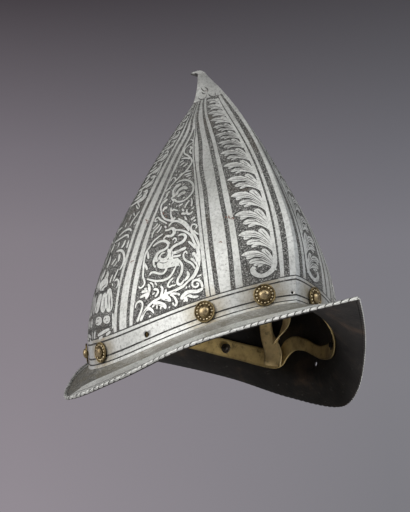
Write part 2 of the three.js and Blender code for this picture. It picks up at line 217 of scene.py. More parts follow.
def place_of(share, height):
    """The place on the right side that lies a share of the way from the front keel to the rear one."""
    share, height = np.broadcast_arrays(np.atleast_1d(share).astype(float), np.asarray(height, float))
    near = np.minimum(share, 1 - share)
    row = np.clip(height / TABLE_STEP, 0, len(TABLE_HEIGHTS) - 1.001)
    low = row.astype(int)
    found = np.empty((2,) + share.shape)
    for k in (0, 1):
        for i in np.unique(low + k):
            here = low + k == i
            found[k][here] = np.interp(near[here], table_shares[i], TABLE_PLACES)
    place = found[0] + (found[1] - found[0]) * (row - low)
    return np.where(share <= 0.5, place, 2 - place)


print("half the girth at the band:", round(float(half_girth(10)), 1), "mm")

# %% [markdown]
# ## The camera
# The helmet was seen from its right front and from a little below its brim. The camera comes early, because
# the etched ornament is drawn through it: a stroke's points are read off the view and then found on the
# steel.

# %% Set up the camera
CAMERA_PLACE = Vector((-0.38912, -0.8119, -0.05315))
CAMERA_TURN = Vector((0.4205, 0.8895, 0.1787)).to_track_quat("-Z", "Y").to_matrix()
PICTURE = (410, 512)
camera_data = bpy.data.cameras.new("view")
camera_data.sensor_width, camera_data.lens, camera_data.clip_start = 36, 85.46, 0.01
FOCAL = camera_data.lens / camera_data.sensor_width * max(PICTURE)
camera = bpy.data.objects.new("view", camera_data)
camera.matrix_world = Matrix.Translation(CAMERA_PLACE) @ CAMERA_TURN.to_4x4()
bpy.context.scene.collection.objects.link(camera)
bpy.context.scene.camera = camera


def seen_at(points):
    """Where points, in mm, are seen in the view, in its pixels."""
    x, y, z = np.moveaxis((points - np.array(CAMERA_PLACE) * 1000) @ np.array(CAMERA_TURN), -1, 0)
    return np.stack([PICTURE[0] / 2 - FOCAL * x / z, PICTURE[1] / 2 + FOCAL * y / z], -1)


print("the stalk's tip is seen at", seen_at(STALK_TIP))

# %% [markdown]
# ## Sheets and finishes
# Nearly every piece here is a sheet: a flat grid of faces that is bent by moving its points. Small helpers
# make the grid and move its points, close its seams, turn its faces outwards and give it a UV map. Others
# build the materials out of clouds, ramps and blends.


# %% Helpers for sheets
WELD = 1e-4


def placed(place, direction, axis="Z"):
    """The matrix that moves a thing to a place and turns this axis of it towards the direction."""
    turn = Vector(direction).to_track_quat(axis, "Y").to_matrix().to_4x4()
    return Matrix.Translation(Vector(place)) @ turn


def add_sheet(bm, points):
    """Adds a grid of faces whose points are given as rows of columns. Returns its vertices in that order."""
    rows, columns = points.shape[:2]
    made = bmesh.ops.create_grid(bm, x_segments=columns - 1, y_segments=rows - 1, size=1)["verts"]
    for vert, point in zip(made, points.reshape(-1, 3)):
        vert.co = point
    return made


def finish(name, bm, material, sharp=None):
    """Makes an object in metres from a bmesh in millimetres."""
    mesh = bpy.data.meshes.new(name)
    bm.to_mesh(mesh)
    bm.free()
    mesh.transform(Matrix.Scale(0.001, 4))
    mesh.shade_smooth()
    if sharp:
        mesh.set_sharp_from_angle(angle=math.radians(sharp))
    for one in material if isinstance(material, list) else [material]:
        mesh.materials.append(one)
    thing = bpy.data.objects.new(name, mesh)
    bpy.context.scene.collection.objects.link(thing)
    return thing


def close(bm):
    """Merges the points that meet at seams and poles, and turns the faces outwards."""
    bmesh.ops.remove_doubles(bm, verts=bm.verts, dist=WELD)
    bmesh.ops.dissolve_degenerate(bm, edges=bm.edges, dist=WELD)
    bmesh.ops.recalc_face_normals(bm, faces=bm.faces)


def face_towards(bm, index, normal):
    """Turns all the sheets over if this face looks away from the normal."""
    bm.normal_update()
    bm.faces.ensure_lookup_table()
    if Vector(normal).dot(bm.faces[index].normal) < 0:
        bmesh.ops.reverse_faces(bm, faces=bm.faces)


def uv_pairs(along, across):
    """The way along in centimetres and the way across, for each vertex of a sheet."""
    return np.stack(np.broadcast_arrays(along[:, None] / 10, across), -1).reshape(-1, 2)


def lay_uv(bm, name, pairs):
    layer = bm.loops.layers.uv.new(name)
    bm.verts.index_update()
    for face in bm.faces:
        for loop in face.loops:
            loop[layer].uv = pairs[loop.vert.index]


# %% Helpers for finishes
def begin_finish(name, colour, roughness, metallic=0.0):
    """A material whose shader has these plain values, ready for a pattern."""
    material = bpy.data.materials.new(name)
    material.use_nodes = True
    shader = material.node_tree.nodes["Principled BSDF"]
    shader.inputs["Base Color"].default_value = (*colour, 1)
    shader.inputs["Roughness"].default_value = roughness
    shader.inputs["Metallic"].default_value = metallic
    return material, shader


def node(material, kind, settings=None, **inputs):
    """Adds a node. A keyword names an input, with _ for a space, and gives a value or the socket to link."""
    made = material.node_tree.nodes.new("ShaderNode" + kind)
    for key, value in (settings or {}).items():
        setattr(made, key, value)
    for key, value in inputs.items():
        if key.startswith("in_"):
            socket = made.inputs[int(key[3:])]
        else:
            socket = made.inputs[key.replace("_", " ")]
        if isinstance(value, bpy.types.NodeSocket):
            material.node_tree.links.new(value, socket)
        else:
            socket.default_value = value
    return made


def on_object(material, stretch=(1, 1, 1)):
    where = node(material, "TexCoord").outputs["Object"]
    return node(material, "Mapping", Vector=where, Scale=stretch).outputs["Vector"]


def cloud(material, where, size, detail=4.0, rough=0.55):
    """A noise whose lumps are about this many millimetres across."""
    noise = node(material, "TexNoise", Vector=where, Scale=1000 / size, Detail=detail, Roughness=rough)
    return noise.outputs["Fac"]


def steps(material, value, *stops):
    """A ramp: each stop is a position and a colour or a grey."""
    ramp = node(material, "ValToRGB", Fac=value)
    elements = ramp.color_ramp.elements
    while len(elements) < len(stops):
        elements.new(0.5)
    for element, (position, colour) in zip(elements, stops):
        element.position = position
        element.color = (*colour, 1) if isinstance(colour, tuple) else (colour, colour, colour, 1)
    return ramp.outputs["Color"]


def blend_colours(material, share, first, second, kind="MIX"):
    mixed = node(material, "Mix", {"data_type": "RGBA", "blend_type": kind})
    links = material.node_tree.links
    for index, value in ((0, share), (6, first), (7, second)):
        if isinstance(value, bpy.types.NodeSocket):
            links.new(value, mixed.inputs[index])
        else:
            mixed.inputs[index].default_value = (*value, 1) if isinstance(value, tuple) else value
    return mixed.outputs[2]


def maths(material, operation, first, second=0.0, clamp=False):
    settings = {"operation": operation, "use_clamp": clamp}
    return node(material, "Math", settings, in_0=first, in_1=second).outputs[0]


def times(material, first, second, clamp=False):
    return maths(material, "MULTIPLY", first, second, clamp)


def plus(material, first, second):
    return maths(material, "ADD", first, second)


def across_stroke(material):
    """How far out of its stroke's or strap's middle a point lies, from its own UV."""
    uv = node(material, "UVMap").outputs["UV"]
    return maths(material, "ABSOLUTE", node(material, "SeparateXYZ", in_0=uv).outputs["Y"])


def link(material, output, shader, name):
    material.node_tree.links.new(output, shader.inputs[name])


def relief(material, shader, height, depth):
    """Bump from a height of 0 to 1 that stands for this many millimetres."""
    bump = node(material, "Bump", Strength=1.0, Distance=depth / 1000, Height=height)
    link(material, bump.outputs["Normal"], shader, "Normal")


# %% [markdown]
# ## Steel in four states
# The same steel shows four faces: polished and a little clouded where the etcher left it standing, dark and
# grainy where the acid bit, paler on the brim, where its etched strip is rubbed and its plain steel is made
# brighter as painted light, and brown-black inside, where it was never polished.
# The brass has stained the steel round each rivet, so the skull carries an attribute that says how near the
# next one is.

# %% Steel finishes
STAIN = (0.33, 0.275, 0.175)
RUST = (0.16, 0.055, 0.03)
OLD_DIRT = (0.2, 0.19, 0.17)
CONTOUR_BLACK = (0.045, 0.045, 0.042)
BROWN_DIRT = (0.085, 0.07, 0.052)
HAND_WORN = (0.7, 0.685, 0.63)
STREAK_DIRT = (0.19, 0.175, 0.13)
CLOUDS = ((0.3, (0.5, 0.51, 0.485)), (0.52, (0.63, 0.64, 0.615)), (0.72, (0.71, 0.72, 0.7)))


def polished_steel(name, stained=False, contoured=False, bright=1.0):
    """Old polish, cloudy and specked. Stains lie round the rivets, and a contour needs a stroke's own UV."""
    material, shader = begin_finish(name, (0.6, 0.605, 0.58), 0.45, 0.72)
    where = on_object(material)
    wide = cloud(material, where, 34, 5)
    colour = steps(material, wide, *((at, tuple(bright * tone for tone in colour)) for at, colour in CLOUDS))
    mottle = steps(material, cloud(material, where, 1.9, 4, 0.75), (0.36, 0.66), (0.5, 0.94), (0.62, 1.0))
    colour = blend_colours(material, 1.0, colour, mottle, "MULTIPLY")
    speck = steps(material, cloud(material, where, 2.2, 3, 0.7), (0.61, 0.0), (0.7, 1.0))
    colour = blend_colours(material, times(material, speck, 0.65), colour, OLD_DIRT)
    rust = steps(material, cloud(material, where, 15, 6, 0.68), (0.675, 0.0), (0.76, 1.0))
    colour = blend_colours(material, times(material, rust, 0.75), colour, RUST)
    if stained:
        edge = times(material, cloud(material, where, 5, 4), 1.6)
        near_brass = node(material, "Attribute", {"attribute_name": "stain"}).outputs["Fac"]
        stain = times(material, times(material, near_brass, edge, clamp=True), 0.8)
        colour = blend_colours(material, stain, colour, STAIN)
    scratch = cloud(material, on_object(material, (1.0, 1.0, 0.08)), 0.9, 3, 0.6)
    rough = plus(material, plus(material, times(material, wide, 0.22), times(material, scratch, 0.2)), 0.27)
    if contoured:
        contour = steps(material, across_stroke(material), (0.62, 0.0), (0.66, 1.0))
        colour = blend_colours(material, contour, colour, CONTOUR_BLACK)
        rough = plus(material, rough, times(material, contour, 0.3))
    link(material, colour, shader, "Base Color")
    link(material, rough, shader, "Roughness")
    lumps = plus(material, times(material, cloud(material, where, 9, 2), 0.8), times(material, scratch, 0.12))
    relief(material, shader, lumps, 0.16)
    return material


def bitten_steel(name, dark, light, size, rough=0.62, worn=0.0):
    """Etched ground: a dark grain with small bright dots. In front, hands have worn the brim pale."""
    material, shader = begin_finish(name, dark, rough, 0.55)
    where = on_object(material)
    dots = node(material, "TexVoronoi", Vector=where, Scale=1000 / size, Randomness=1.0).outputs["Distance"]
    mixed = plus(material, times(material, dots, -0.55), cloud(material, where, size * 0.8, 3, 0.7))
    middle = tuple((a + b) / 2.6 for a, b in zip(dark, light))
    colour = steps(material, mixed, (0.12, dark), (0.34, middle), (0.52, light))
    brown = steps(material, cloud(material, where, 22, 4), (0.52, 0.0), (0.72, 0.55))
    colour = blend_colours(material, brown, colour, BROWN_DIRT)
    if worn:
        forward = times(material, node(material, "SeparateXYZ", Vector=where).outputs["Y"], -5)
        rubbed = steps(material, forward, (0.05, 0.0), (0.26, worn), (0.58, worn), (0.78, 0.0))
        colour = blend_colours(material, rubbed, colour, HAND_WORN)
        streaks = cloud(material, on_object(material, (1, 0.22, 0.6)), 5, 6, 0.75)
        dirty = steps(material, streaks, (0.46, 0.0), (0.6, 0.6))
        colour = blend_colours(material, dirty, colour, STREAK_DIRT)
    link(material, colour, shader, "Base Color")
    relief(material, shader, mixed, 0.22)
    return material


steel = polished_steel("polished_steel", True)
ornament_steel = polished_steel("ornament_steel")
figure_steel = polished_steel("figure_steel", contoured=True, bright=1.1)
ground = bitten_steel("etched_ground", (0.05, 0.05, 0.047), (0.5, 0.5, 0.475), 1.1)
worn_ground = bitten_steel("worn_ground", (0.11, 0.11, 0.1), (0.34, 0.34, 0.315), 1.6, 0.55, 0.4)
# Plain steel on the brim and the hook's crest: the bowl's steel made 1.28 times brighter, which is painted
# light, a painted reflection along the brim's outer strip and a painted highlight on the crest.
brightened_steel = polished_steel("steel_brightened_as_painted_light", bright=1.28)


def make_dark_inside():
    material, shader = begin_finish("blackened_inside_and_rope_shade", (0.02, 0.018, 0.016), 0.7)
    shader.inputs["Specular IOR Level"].default_value = 0.25
    where = on_object(material)
    colour = steps(material, cloud(material, where, 26, 6, 0.65), (0.34, (0.008, 0.0075, 0.0075)),
                   (0.55, (0.017, 0.015, 0.014)), (0.74, (0.055, 0.037, 0.026)))
    scuffs = cloud(material, on_object(material, (0.12, 0.3, 1.0)), 3.5, 6, 0.8)
    scuffs = steps(material, scuffs, (0.62, 0.0), (0.74, 0.8))
    link(material, blend_colours(material, scuffs, colour, (0.2, 0.185, 0.17)), shader, "Base Color")
    hammered = node(material, "TexVoronoi", {"feature": "SMOOTH_F1"}, Vector=where, Scale=70)
    relief(material, shader, plus(material, hammered.outputs["Distance"], cloud(material, where, 3, 4)), 0.35)
    return material


def make_groove_black():
    """Dirt in a graved line, rubbed out here and there. The same black is painted shade under the stalk's
    hook, and it fills the rope's deeper notches.
    """
    material, shader = begin_finish("groove_and_shade_black", (0.045, 0.043, 0.04), 0.6, 0.3)
    colour = steps(material, cloud(material, on_object(material), 4.5, 4, 0.7), (0.52, (0.035, 0.034, 0.031)),
                   (0.62, (0.11, 0.11, 0.1)), (0.7, (0.36, 0.36, 0.34)))
    link(material, colour, shader, "Base Color")
    return material


inside_black_and_rope_shade, groove_and_shade_black = make_dark_inside(), make_groove_black()
print("steel finishes:", steel.name, ground.name, inside_black_and_rope_shade.name)

# %% [markdown]
# ## The skull
# One sheet makes the whole helmet: its rows start at the tip of the stalk, run down the outer face, over
# the brim, round its edge and up the inner face, and its columns run once round. Columns and rows follow
# the borders of the etched strips, two side by side where the acid bit, so the dark strips are truly sunk,
# and each face gets the finish of its strip. Smooth shading would smear light over those steps, so every
# edge of more than 24 degrees stays sharp, which keeps the keel crisp as well.

# %% Borders of the etched strips
STRIP_HEIGHTS = [18, 50, 80, 110, 135, 160, 177, 190, 203]
STRIPS = {name: smooth_through(STRIP_HEIGHTS, values) for name, values in {
    "keel_stripe": [0.0175, 0.018, 0.018, 0.018, 0.019, 0.0245, 0.032, 0.041, 0.052],
    "leaf_front": [0.032, 0.0338, 0.0345, 0.0345, 0.04, 0.054, 0.071, 0.087, 0.105],
    "leaf_back": [0.1035, 0.112, 0.121, 0.132, 0.148, 0.17, 0.199, 0.235, 0.27],
    "stripe_1": [0.1235, 0.131, 0.14, 0.154, 0.17, 0.197, 0.231, 0.266, 0.312],
    "stripe_2": [0.155, 0.169, 0.182, 0.197, 0.222, 0.2445, 0.283, 0.325, 0.366],
    "fine_line": [0.171, 0.184, 0.199, 0.217, 0.243, 0.277, 0.299, 0.345, 0.383],
    "scroll_front": [0.18, 0.194, 0.208, 0.228, 0.251, 0.286, 0.308, 0.3525, 0.391],
    "scroll_back": [0.363, 0.357, 0.354, 0.351, 0.341, 0.325, 0.314, 0.358, 0.397],
    "stripe_3": [0.376, 0.376, 0.374, 0.366, 0.359, 0.349, 0.337, 0.371, 0.41],
    "stripe_4": [0.4065, 0.408, 0.404, 0.403, 0.396, 0.388, 0.38, 0.4, 0.44],
    "side": [0.4215, 0.4205, 0.42, 0.4225, 0.423, 0.411, 0.408, 0.42, 0.455]}.items()}
STRIP_TOP = 206.5
STRIP_FOOT = 21
SCROLL_TOP = 177
ETCH = 0.18  # how deep the acid bit
STEP = 0.16  # how wide the slope is at a strip's border
SLIM_BELOW = 160  # where half the girth is less than this, the stripes get narrower with it
BORDERS = [  # strip, millimetres beside its line, whether the ground starts or ends here, columns to the next
    ("keel_stripe", -1.8, True, 2), ("keel_stripe", 1.8, False, 2), ("leaf_front", -0.4, True, 9),
    ("leaf_back", 0, False, 2), ("stripe_1", -1.6, True, 1), ("stripe_1", 1.6, False, 3),
    ("stripe_2", -1.6, True, 1), ("stripe_2", 1.6, False, 1), ("fine_line", -0.35, True, 1),
    ("fine_line", 0.35, False, 1), ("scroll_front", 0, True, 15), ("scroll_back", 0, False, 1),
    ("stripe_3", -1.5, True, 1), ("stripe_3", 1.5, False, 3), ("stripe_4", -1.5, True, 1),
    ("stripe_4", 1.5, False, 1), ("side", 0, True, 7)]


def quarter_columns(height):
    """Shares of a quarter's columns at these heights, and for each whether it lies in the ground."""
    girth = half_girth(height)
    slim = np.minimum(1, girth / SLIM_BELOW)
    stops, low, gaps = [np.zeros_like(girth)], [False], [2]
    for name, beside, starts, gap in BORDERS:
        middle = STRIPS[name](height) + beside * slim / girth
        for turn in (-1, 1):
            stops.append(middle + turn * STEP / 2 / girth)
            low.append((turn > 0) == starts)
        gaps += [1, gap]
    stops.append(np.full_like(girth, 0.5))
    columns, sunk = [], []
    for i, gap in enumerate(gaps):
        for k in range(gap):
            columns.append(stops[i] + (stops[i + 1] - stops[i]) * k / gap)
            sunk.append(low[i] if k == 0 else low[i] and low[min(i + 1, len(low) - 1)])
    columns.append(stops[-1])
    sunk.append(True)
    return np.stack(columns, -1), np.array(sunk)


SAMPLE_HEIGHT = 30.0
sample_columns, sunk_columns = quarter_columns(np.array([SAMPLE_HEIGHT]))
print("columns in a quarter:", len(sunk_columns), "of which sunk:", int(sunk_columns.sum()))


# %% Where the rivets sit
RIVET_HEIGHT = 10.4
RIVET_SHARES = {"right": [0.062, 0.184, 0.325, 0.471, 0.617, 0.77, 0.925],
                "left": [0.058, 0.186, 0.328, 0.504, 0.625, 0.783, 0.925]}
EMPTY_HOLES = ("right_3", "left_4")
ROSETTE_RADIUS = 7.4
HOLE_RADIUS = 2.0


def rivet_station(side, share):
    place = float(place_of(share, RIVET_HEIGHT)[0])
    place = place if side == "right" else 4 - place
    point, normal = face_point(place, -RIVET_HEIGHT), outward(place, -RIVET_HEIGHT)
    turn = ROSETTE_RADIUS / np.linalg.norm(face_point(place + 0.5, -RIVET_HEIGHT) - point) * 0.5
    angle = np.linspace(0, 2 * np.pi, 25)  # a ring round the rosette, to find how far the wall swells in it
    around = face_point(place + turn * np.cos(angle), -RIVET_HEIGHT + ROSETTE_RADIUS * np.sin(angle))
    swell = max(0, float(((around - point) @ normal).max()))
    return {"point": point, "normal": normal, "seat": GAP + swell, "place": place}


stations = {f"{side}_{i + 1}": rivet_station(side, share)
            for side, shares in RIVET_SHARES.items() for i, share in enumerate(shares)}
TINY_HOLE_HEIGHT, TINY_HOLE_RADIUS = 8.8, 0.8
TINY_HOLE_PLACE = float(place_of(0.008, TINY_HOLE_HEIGHT)[0])
print("rivet stations:", {name: round(station["place"], 2) for name, station in stations.items()})

# %% Rows of the sheet, from the stalk over the brim to the inner top
STEEL, GROUND, WORN, BLACK_LINE_AND_SHADE, BRIGHTENED, INSIDE = range(6)  # the finishes of the skull's faces
SKULL_FINISHES = [steel, ground, worn_ground, groove_and_shade_black, brightened_steel, inside_black_and_rope_shade]
STALK_HEIGHTS = [241.9, 241.1, 240.2, 239.5, 238.6, 237.6, 236.5, 235.3, 233.8, 232, 230, 228, 226, 223.5,
                 221, 218, 215, 212, 209.5]
LINE_HALF = 0.48
LINE_SLOPE = 0.14
BAND_LINES = [17.4, 7.0]  # fine lines along the rivet band
BRIM_STRIP = (0.35, 0.2)  # the brim's etched strip: first step on the turn, and end as a share of the brim
# How much wider the brim's dark etched strip is round the bowl: a little at the keels and sides, and far over
# the brim behind each side, where the dark is painted shade.
BRIM_STRIP_SHADE_WIDENING = smooth_through([0, 0.1, 0.2, 0.3, 0.6, 0.8, 0.9, 1.0, 1.06, 1.15, 1.4, 1.7, 1.88, 2.0],
                             [0.16, 0.15, 0.1, 0.01, 0, 0.01, 0.06, 0.26, 0.6, 0.76, 0.76, 0.5, 0.2, 0.16])
BRIM_LINE = 0.6
KEEL_RISE, KEEL_WIDTH = 1.9, 0.14  # the band's upper lines climb a little where they meet the keel
RISE_STARTS, RISE_GROWS, RISE_ENDS, RISE_FADES = 9, 6, 60, 40  # heights, and over how many millimetres
INNER_BRIM = [FILLET + share for share in (0.97, 0.85, 0.7, 0.55, 0.4, 0.25, 0.1)]
INNER_TURN = [3.5, 2, 0.7, -0.7, -2, -3.5]
INNER_HEIGHTS = [5, 12, 20, 30, 40, 52, 64, 76, 88, 100, 112, 124, 136, 148, 160, 172, 184, 194, 203, 207]


def all_round(first):
    """A quarter's places, from 0 to 1, repeated for the whole way round with the last on top of the first."""
    back = first[..., ::-1]
    return np.concatenate([first, (2 - back)[..., 1:], (2 + first)[..., 1:], (4 - back)[..., 1:]], -1)


def four_times(quarter_row):
    """A quarter's flags, repeated and mirrored in the same way."""
    back = quarter_row[::-1][1:]
    return np.concatenate([quarter_row, back, quarter_row[1:], back])


def places_at(height):
    """The places of all columns at a height. They stay the same below the strips and above them."""
    height = np.atleast_1d(np.clip(height, STRIP_FOOT - 3, STRIP_TOP))
    return all_round(place_of(quarter_columns(height)[0], height[:, None]))[0]


def keel_rise(places):
    near = np.minimum(np.mod(places, 2), 2 - np.mod(places, 2))
    return KEEL_RISE * np.exp(-(near / KEEL_WIDTH) ** 2)


def on_brim_step(places, share, beside=0.0):
    """The step of a share of the brim and millimetres beside it. The strip is wider at keels and sides,
    and widest behind the sides, where its dark is painted shade.
    """
    near = np.minimum(np.mod(places, 4), 4 - np.mod(places, 4))
    more = np.where(share < BRIM_STRIP[1], share / BRIM_STRIP[1], (1 - share) / (1 - BRIM_STRIP[1]))
    wider = BRIM_STRIP_SHADE_WIDENING(near)
    return FILLET + share + wider * more + beside / brim_width(places) * (1 - wider)


def outer_rows():
    """Rows of step, are the strips sunk here, finish of a line or of the brim's strip, zone, mm beside."""
    def at(row_steps, strips=0, line=0, zone="band"):
        return [(step, strips, line, zone) for step in row_steps]

    rows = at([-height for height in STALK_HEIGHTS] + [-(STRIP_TOP + STEP)], zone="stalk")
    rows += at(-np.linspace(STRIP_TOP - STEP, SCROLL_TOP, 9), 1, zone="strips")
    rows += at(-np.linspace(SCROLL_TOP - 1, STRIP_FOOT, 52), 1, zone="scroll")
    rows += at((0.08 - STRIP_FOOT, 0.8 - STRIP_FOOT), line=BLACK_LINE_AND_SHADE) + at((0.94 - STRIP_FOOT, -18.9))
    for middle, below in zip(BAND_LINES, ((-14.5, -12.5, -10.4, -8.6), (-5, -4, -3.3))):
        rows += at([-middle - LINE_HALF - LINE_SLOPE])
        rows += at([-middle - LINE_HALF, -middle + LINE_HALF], line=BLACK_LINE_AND_SHADE)
        rows += at([-middle + LINE_HALF + LINE_SLOPE]) + at(below)
    rows += at((-3.15, -2.4), line=BLACK_LINE_AND_SHADE) + at((-2.2, -1.3, -0.5, BRIM_STRIP[0] - 0.1))
    rows += at((BRIM_STRIP[0] + 0.1, 1, 1.7, 2.4, 3.2, 4.1, FILLET), line=WORN)
    end = BRIM_STRIP[1]
    rows += at(FILLET + np.append(np.linspace(0.04, end - 0.04, 4), end - 0.004), line=WORN, zone="brim")
    rows += at(FILLET + np.array([end + 0.004, 0.25, 0.33, 0.41, 0.48]), zone="brim")
    rows += [(FILLET + BRIM_LINE, 0, line, "brim", beside)
             for beside, line in ((-0.5, 0), (-0.36, BLACK_LINE_AND_SHADE), (0.36, BLACK_LINE_AND_SHADE), (0.5, 0))]
    rows += at(FILLET + np.array([0.72, 0.78, 0.84, 0.89, 0.93, 0.97]), zone="brim")
    return rows


def outer_face():
    """The points of all the outer rows, and the finish that each point asks for."""
    points, finishes = [], []
    scroll_first, scroll_last = [int(np.argmin(abs(sample_columns[0] - STRIPS[name](SAMPLE_HEIGHT))))
                                 for name in ("scroll_front", "scroll_back")]
    in_scroll = np.zeros(len(sunk_columns), bool)
    in_scroll[scroll_first - 1:scroll_last + 2] = True
    in_strips, in_scroll = four_times(sunk_columns), four_times(in_scroll)
    for step, strips, line, zone, *beside in outer_rows():
        places = places_at(-step)
        steps_here = np.full(places.shape, float(step))
        if zone in ("band", "scroll"):
            fade = (np.clip((RISE_ENDS + step) / RISE_FADES, 0, 1)
                    * np.clip((-step - RISE_STARTS) / RISE_GROWS, 0, 1))
            steps_here = steps_here - keel_rise(places) * fade
        if zone == "brim":
            steps_here = on_brim_step(places, step - FILLET, *beside)
        finishes_here = np.full(places.shape, line)
        if strips:
            finishes_here[in_strips & (~in_scroll | (zone == "scroll"))] = GROUND
        points.append(moved_in(places, steps_here, np.where(finishes_here > STEEL, ETCH, 0.0)))
        finishes.append(finishes_here)
    return np.array(points), np.array(finishes)


outer_points, outer_finishes = outer_face()
inner_points = np.array([moved_in(places_at(0), step, PLATE) for step in INNER_BRIM + INNER_TURN]
                        + [moved_in(places_at(height), -height, PLATE) for height in INNER_HEIGHTS])
print("rows and columns of the outer face:", outer_points.shape[:2], "inner rows:", len(inner_points))

# %% Bend the sheet into the skull
HOOK_FOOT = 236
rows, columns = len(outer_points) + len(inner_points) + 2, outer_points.shape[1]
outer_tip = np.broadcast_to(STALK_TIP, (1, columns, 3))
inner_tip = np.broadcast_to(inner_points[-1].mean(0), (1, columns, 3))
sheet = np.concatenate([outer_tip, outer_points, inner_points, inner_tip])
sheet[..., 2] = np.maximum(sheet[..., 2], FLOOR_CLEARANCE)
finishes = np.zeros((rows, columns), int)
finishes[1:1 + len(outer_points)] = outer_finishes
brim_begins = 1 + next(at for at, row in enumerate(outer_rows()) if row[3] == "brim")
bm = bmesh.new()
add_sheet(bm, sheet)
bm.verts.index_update()
for face in bm.faces:
    corners = [divmod(vert.index, columns) for vert in face.verts]
    first_row = min(row for row, _ in corners)
    deepest = int(max(finishes[corner] for corner in corners))
    face.material_index = INSIDE if first_row >= len(outer_points) else deepest
    # Plain steel on the brim takes the brightened steel, whose extra brightness is painted light.
    if face.material_index == STEEL and first_row >= brim_begins:
        face.material_index = BRIGHTENED
close(bm)
# The hook is lit in colour: faces that look down get black as painted shade, the rest get the brightened
# steel as a painted highlight.
for face in bm.faces:  # painted highlight on the hook's crest, painted shade under it
    if face.calc_center_median().z > SIDE_ROOT_Z + HOOK_FOOT:
        face.material_index = BLACK_LINE_AND_SHADE if face.normal.z < -0.25 else BRIGHTENED
skull = finish("skull_shell", bm, SKULL_FINISHES, sharp=24)
print("skull:", len(skull.data.vertices), "points,", len(skull.data.polygons), "faces")

# %% Drill the rivet holes
STAIN_CORE, STAIN_FADE = 9, 10  # full stain this near to a rivet's middle, and so much more to fade
DRILL_SIDES, DRILL_LENGTH = 28, 12


def drill(piece, holes):
    """Cuts straight holes through a piece, from rows of point, normal and radius."""
    cutters = bmesh.new()
    for point, normal, radius in holes:
        bmesh.ops.create_cone(cutters, cap_ends=True, segments=DRILL_SIDES, radius1=radius, radius2=radius,
                              depth=DRILL_LENGTH, matrix=placed(point, normal))
    drills = finish("drills", cutters, piece.data.materials[-1])
    cut = piece.modifiers.new("holes", "BOOLEAN")
    cut.object, cut.operation, cut.solver = drills, "DIFFERENCE", "EXACT"
    graph = bpy.context.evaluated_depsgraph_get()
    drilled = bpy.data.meshes.new_from_object(piece.evaluated_get(graph), depsgraph=graph)
    piece.modifiers.clear()
    piece.data = drilled
    bpy.data.objects.remove(drills)


holes = [(station["point"], station["normal"], HOLE_RADIUS) for station in stations.values()]
holes.append((face_point(TINY_HOLE_PLACE, -TINY_HOLE_HEIGHT), outward(TINY_HOLE_PLACE, -TINY_HOLE_HEIGHT),
              TINY_HOLE_RADIUS))
drill(skull, holes)
skull_points = np.array([vert.co for vert in skull.data.vertices]) * 1000
nearest = np.min([np.linalg.norm(skull_points - station["point"], axis=1)
                  for name, station in stations.items() if name not in EMPTY_HOLES], axis=0)
stain = skull.data.attributes.new("stain", "FLOAT", "POINT")
stain.data.foreach_set("value", np.clip(1 - (nearest - STAIN_CORE) / STAIN_FADE, 0, 1))
print("drilled holes:", len(holes), "; skull now has", len(skull.data.polygons), "faces")

# %% [markdown]
# ## The roped edge
# The armourer turned the brim's edge over into a roll and filed slanting notches across it, so that it
# looks like a rope. A tube along the edge does the same: its grid is twisted, so that the grid's own lines
# run along the notches and a narrow groove needs only a few columns.

# %% Twist the roped edge
NOTCH_PITCH = 5.15
ROPE_SIDES = 14
ROPE_OUT, ROPE_UP = 1.4, 1.45  # half the rope's width and half its height
NOTCH_DEPTH, UNEVENNESS = 0.3, 0.25  # a notch's depth as a share of those, and how much it varies
NEAR_EDGE = 0.9  # the share of the brim from which outwards is read
GROOVE = [1.0, 0.35, 0.1, 0.0, 0.0, 0.1, 0.75]  # depth of the groove over one notch
BLACK_NOTCH_FROM, BLACK_NOTCH_FRONT_DROP = 1.1, 0.42  # a notch whose depth factor passes the first gets a black face; in front that limit is lower by the second
ROPE_SHADE_BELOW = -0.4  # below this height the rope is black, like the plate's inner face, as painted shade on its underside
fine_places = np.linspace(0, 4, 4001)
edge_lengths = ways_along(edge_point(fine_places))
notches = round(edge_lengths[-1] / NOTCH_PITCH)
count = notches * len(GROOVE)
turns = np.arange(ROPE_SIDES + 1) / ROPE_SIDES
way = (np.arange(count + 1)[None, :] / len(GROOVE) - turns[:, None]) * edge_lengths[-1] / notches
rope_places = np.interp(np.mod(way, edge_lengths[-1]), edge_lengths, fine_places)
middle = edge_point(rope_places)
along = unit(edge_point(rope_places + NEARBY) - edge_point(rope_places - NEARBY))
out = square_to(middle - brim_point(rope_places, np.full(rope_places.shape, NEAR_EDGE)), along)
up = np.cross(along, out)
rng = np.random.default_rng(7)
uneven = rng.normal(size=notches + 1).clip(-1.5, 1.5)
uneven = 1 + UNEVENNESS * np.repeat(uneven, len(GROOVE))[:count + 1]
uneven[-1] = uneven[0]
thick = (1 - NOTCH_DEPTH * np.append(np.tile(GROOVE, notches), GROOVE[0])[None, :] * uneven)[..., None]
angle = (turns * 2 * np.pi)[:, None, None]
rope_sheet = middle + out * np.cos(angle) * ROPE_OUT * thick + up * np.sin(angle) * ROPE_UP * thick
rope_sheet[..., 2] = np.maximum(rope_sheet[..., 2], FLOOR_CLEARANCE)
bm = bmesh.new()
add_sheet(bm, rope_sheet)
bm.verts.index_update()
for face in bm.faces:
    side, first = (min(found) for found in zip(*(divmod(vert.index, count + 1) for vert in face.verts)))
    # Faces below the rope's middle take the inside's black as painted shade.
    is_shaded_under = math.sin((side + 0.5) / ROPE_SIDES * 2 * math.pi) < ROPE_SHADE_BELOW
    shallow = BLACK_NOTCH_FROM - BLACK_NOTCH_FRONT_DROP * abs(first / count - 0.5) * 2
    has_black_notch = first % len(GROOVE) == 0 and uneven[first] > shallow
    face.material_index = 2 if is_shaded_under else int(has_black_notch)
close(bm)
rope = finish("roped_edge", bm, [ornament_steel, groove_and_shade_black, inside_black_and_rope_shade])
print("roped edge:", notches, "notches on", round(edge_lengths[-1]), "mm of edge")

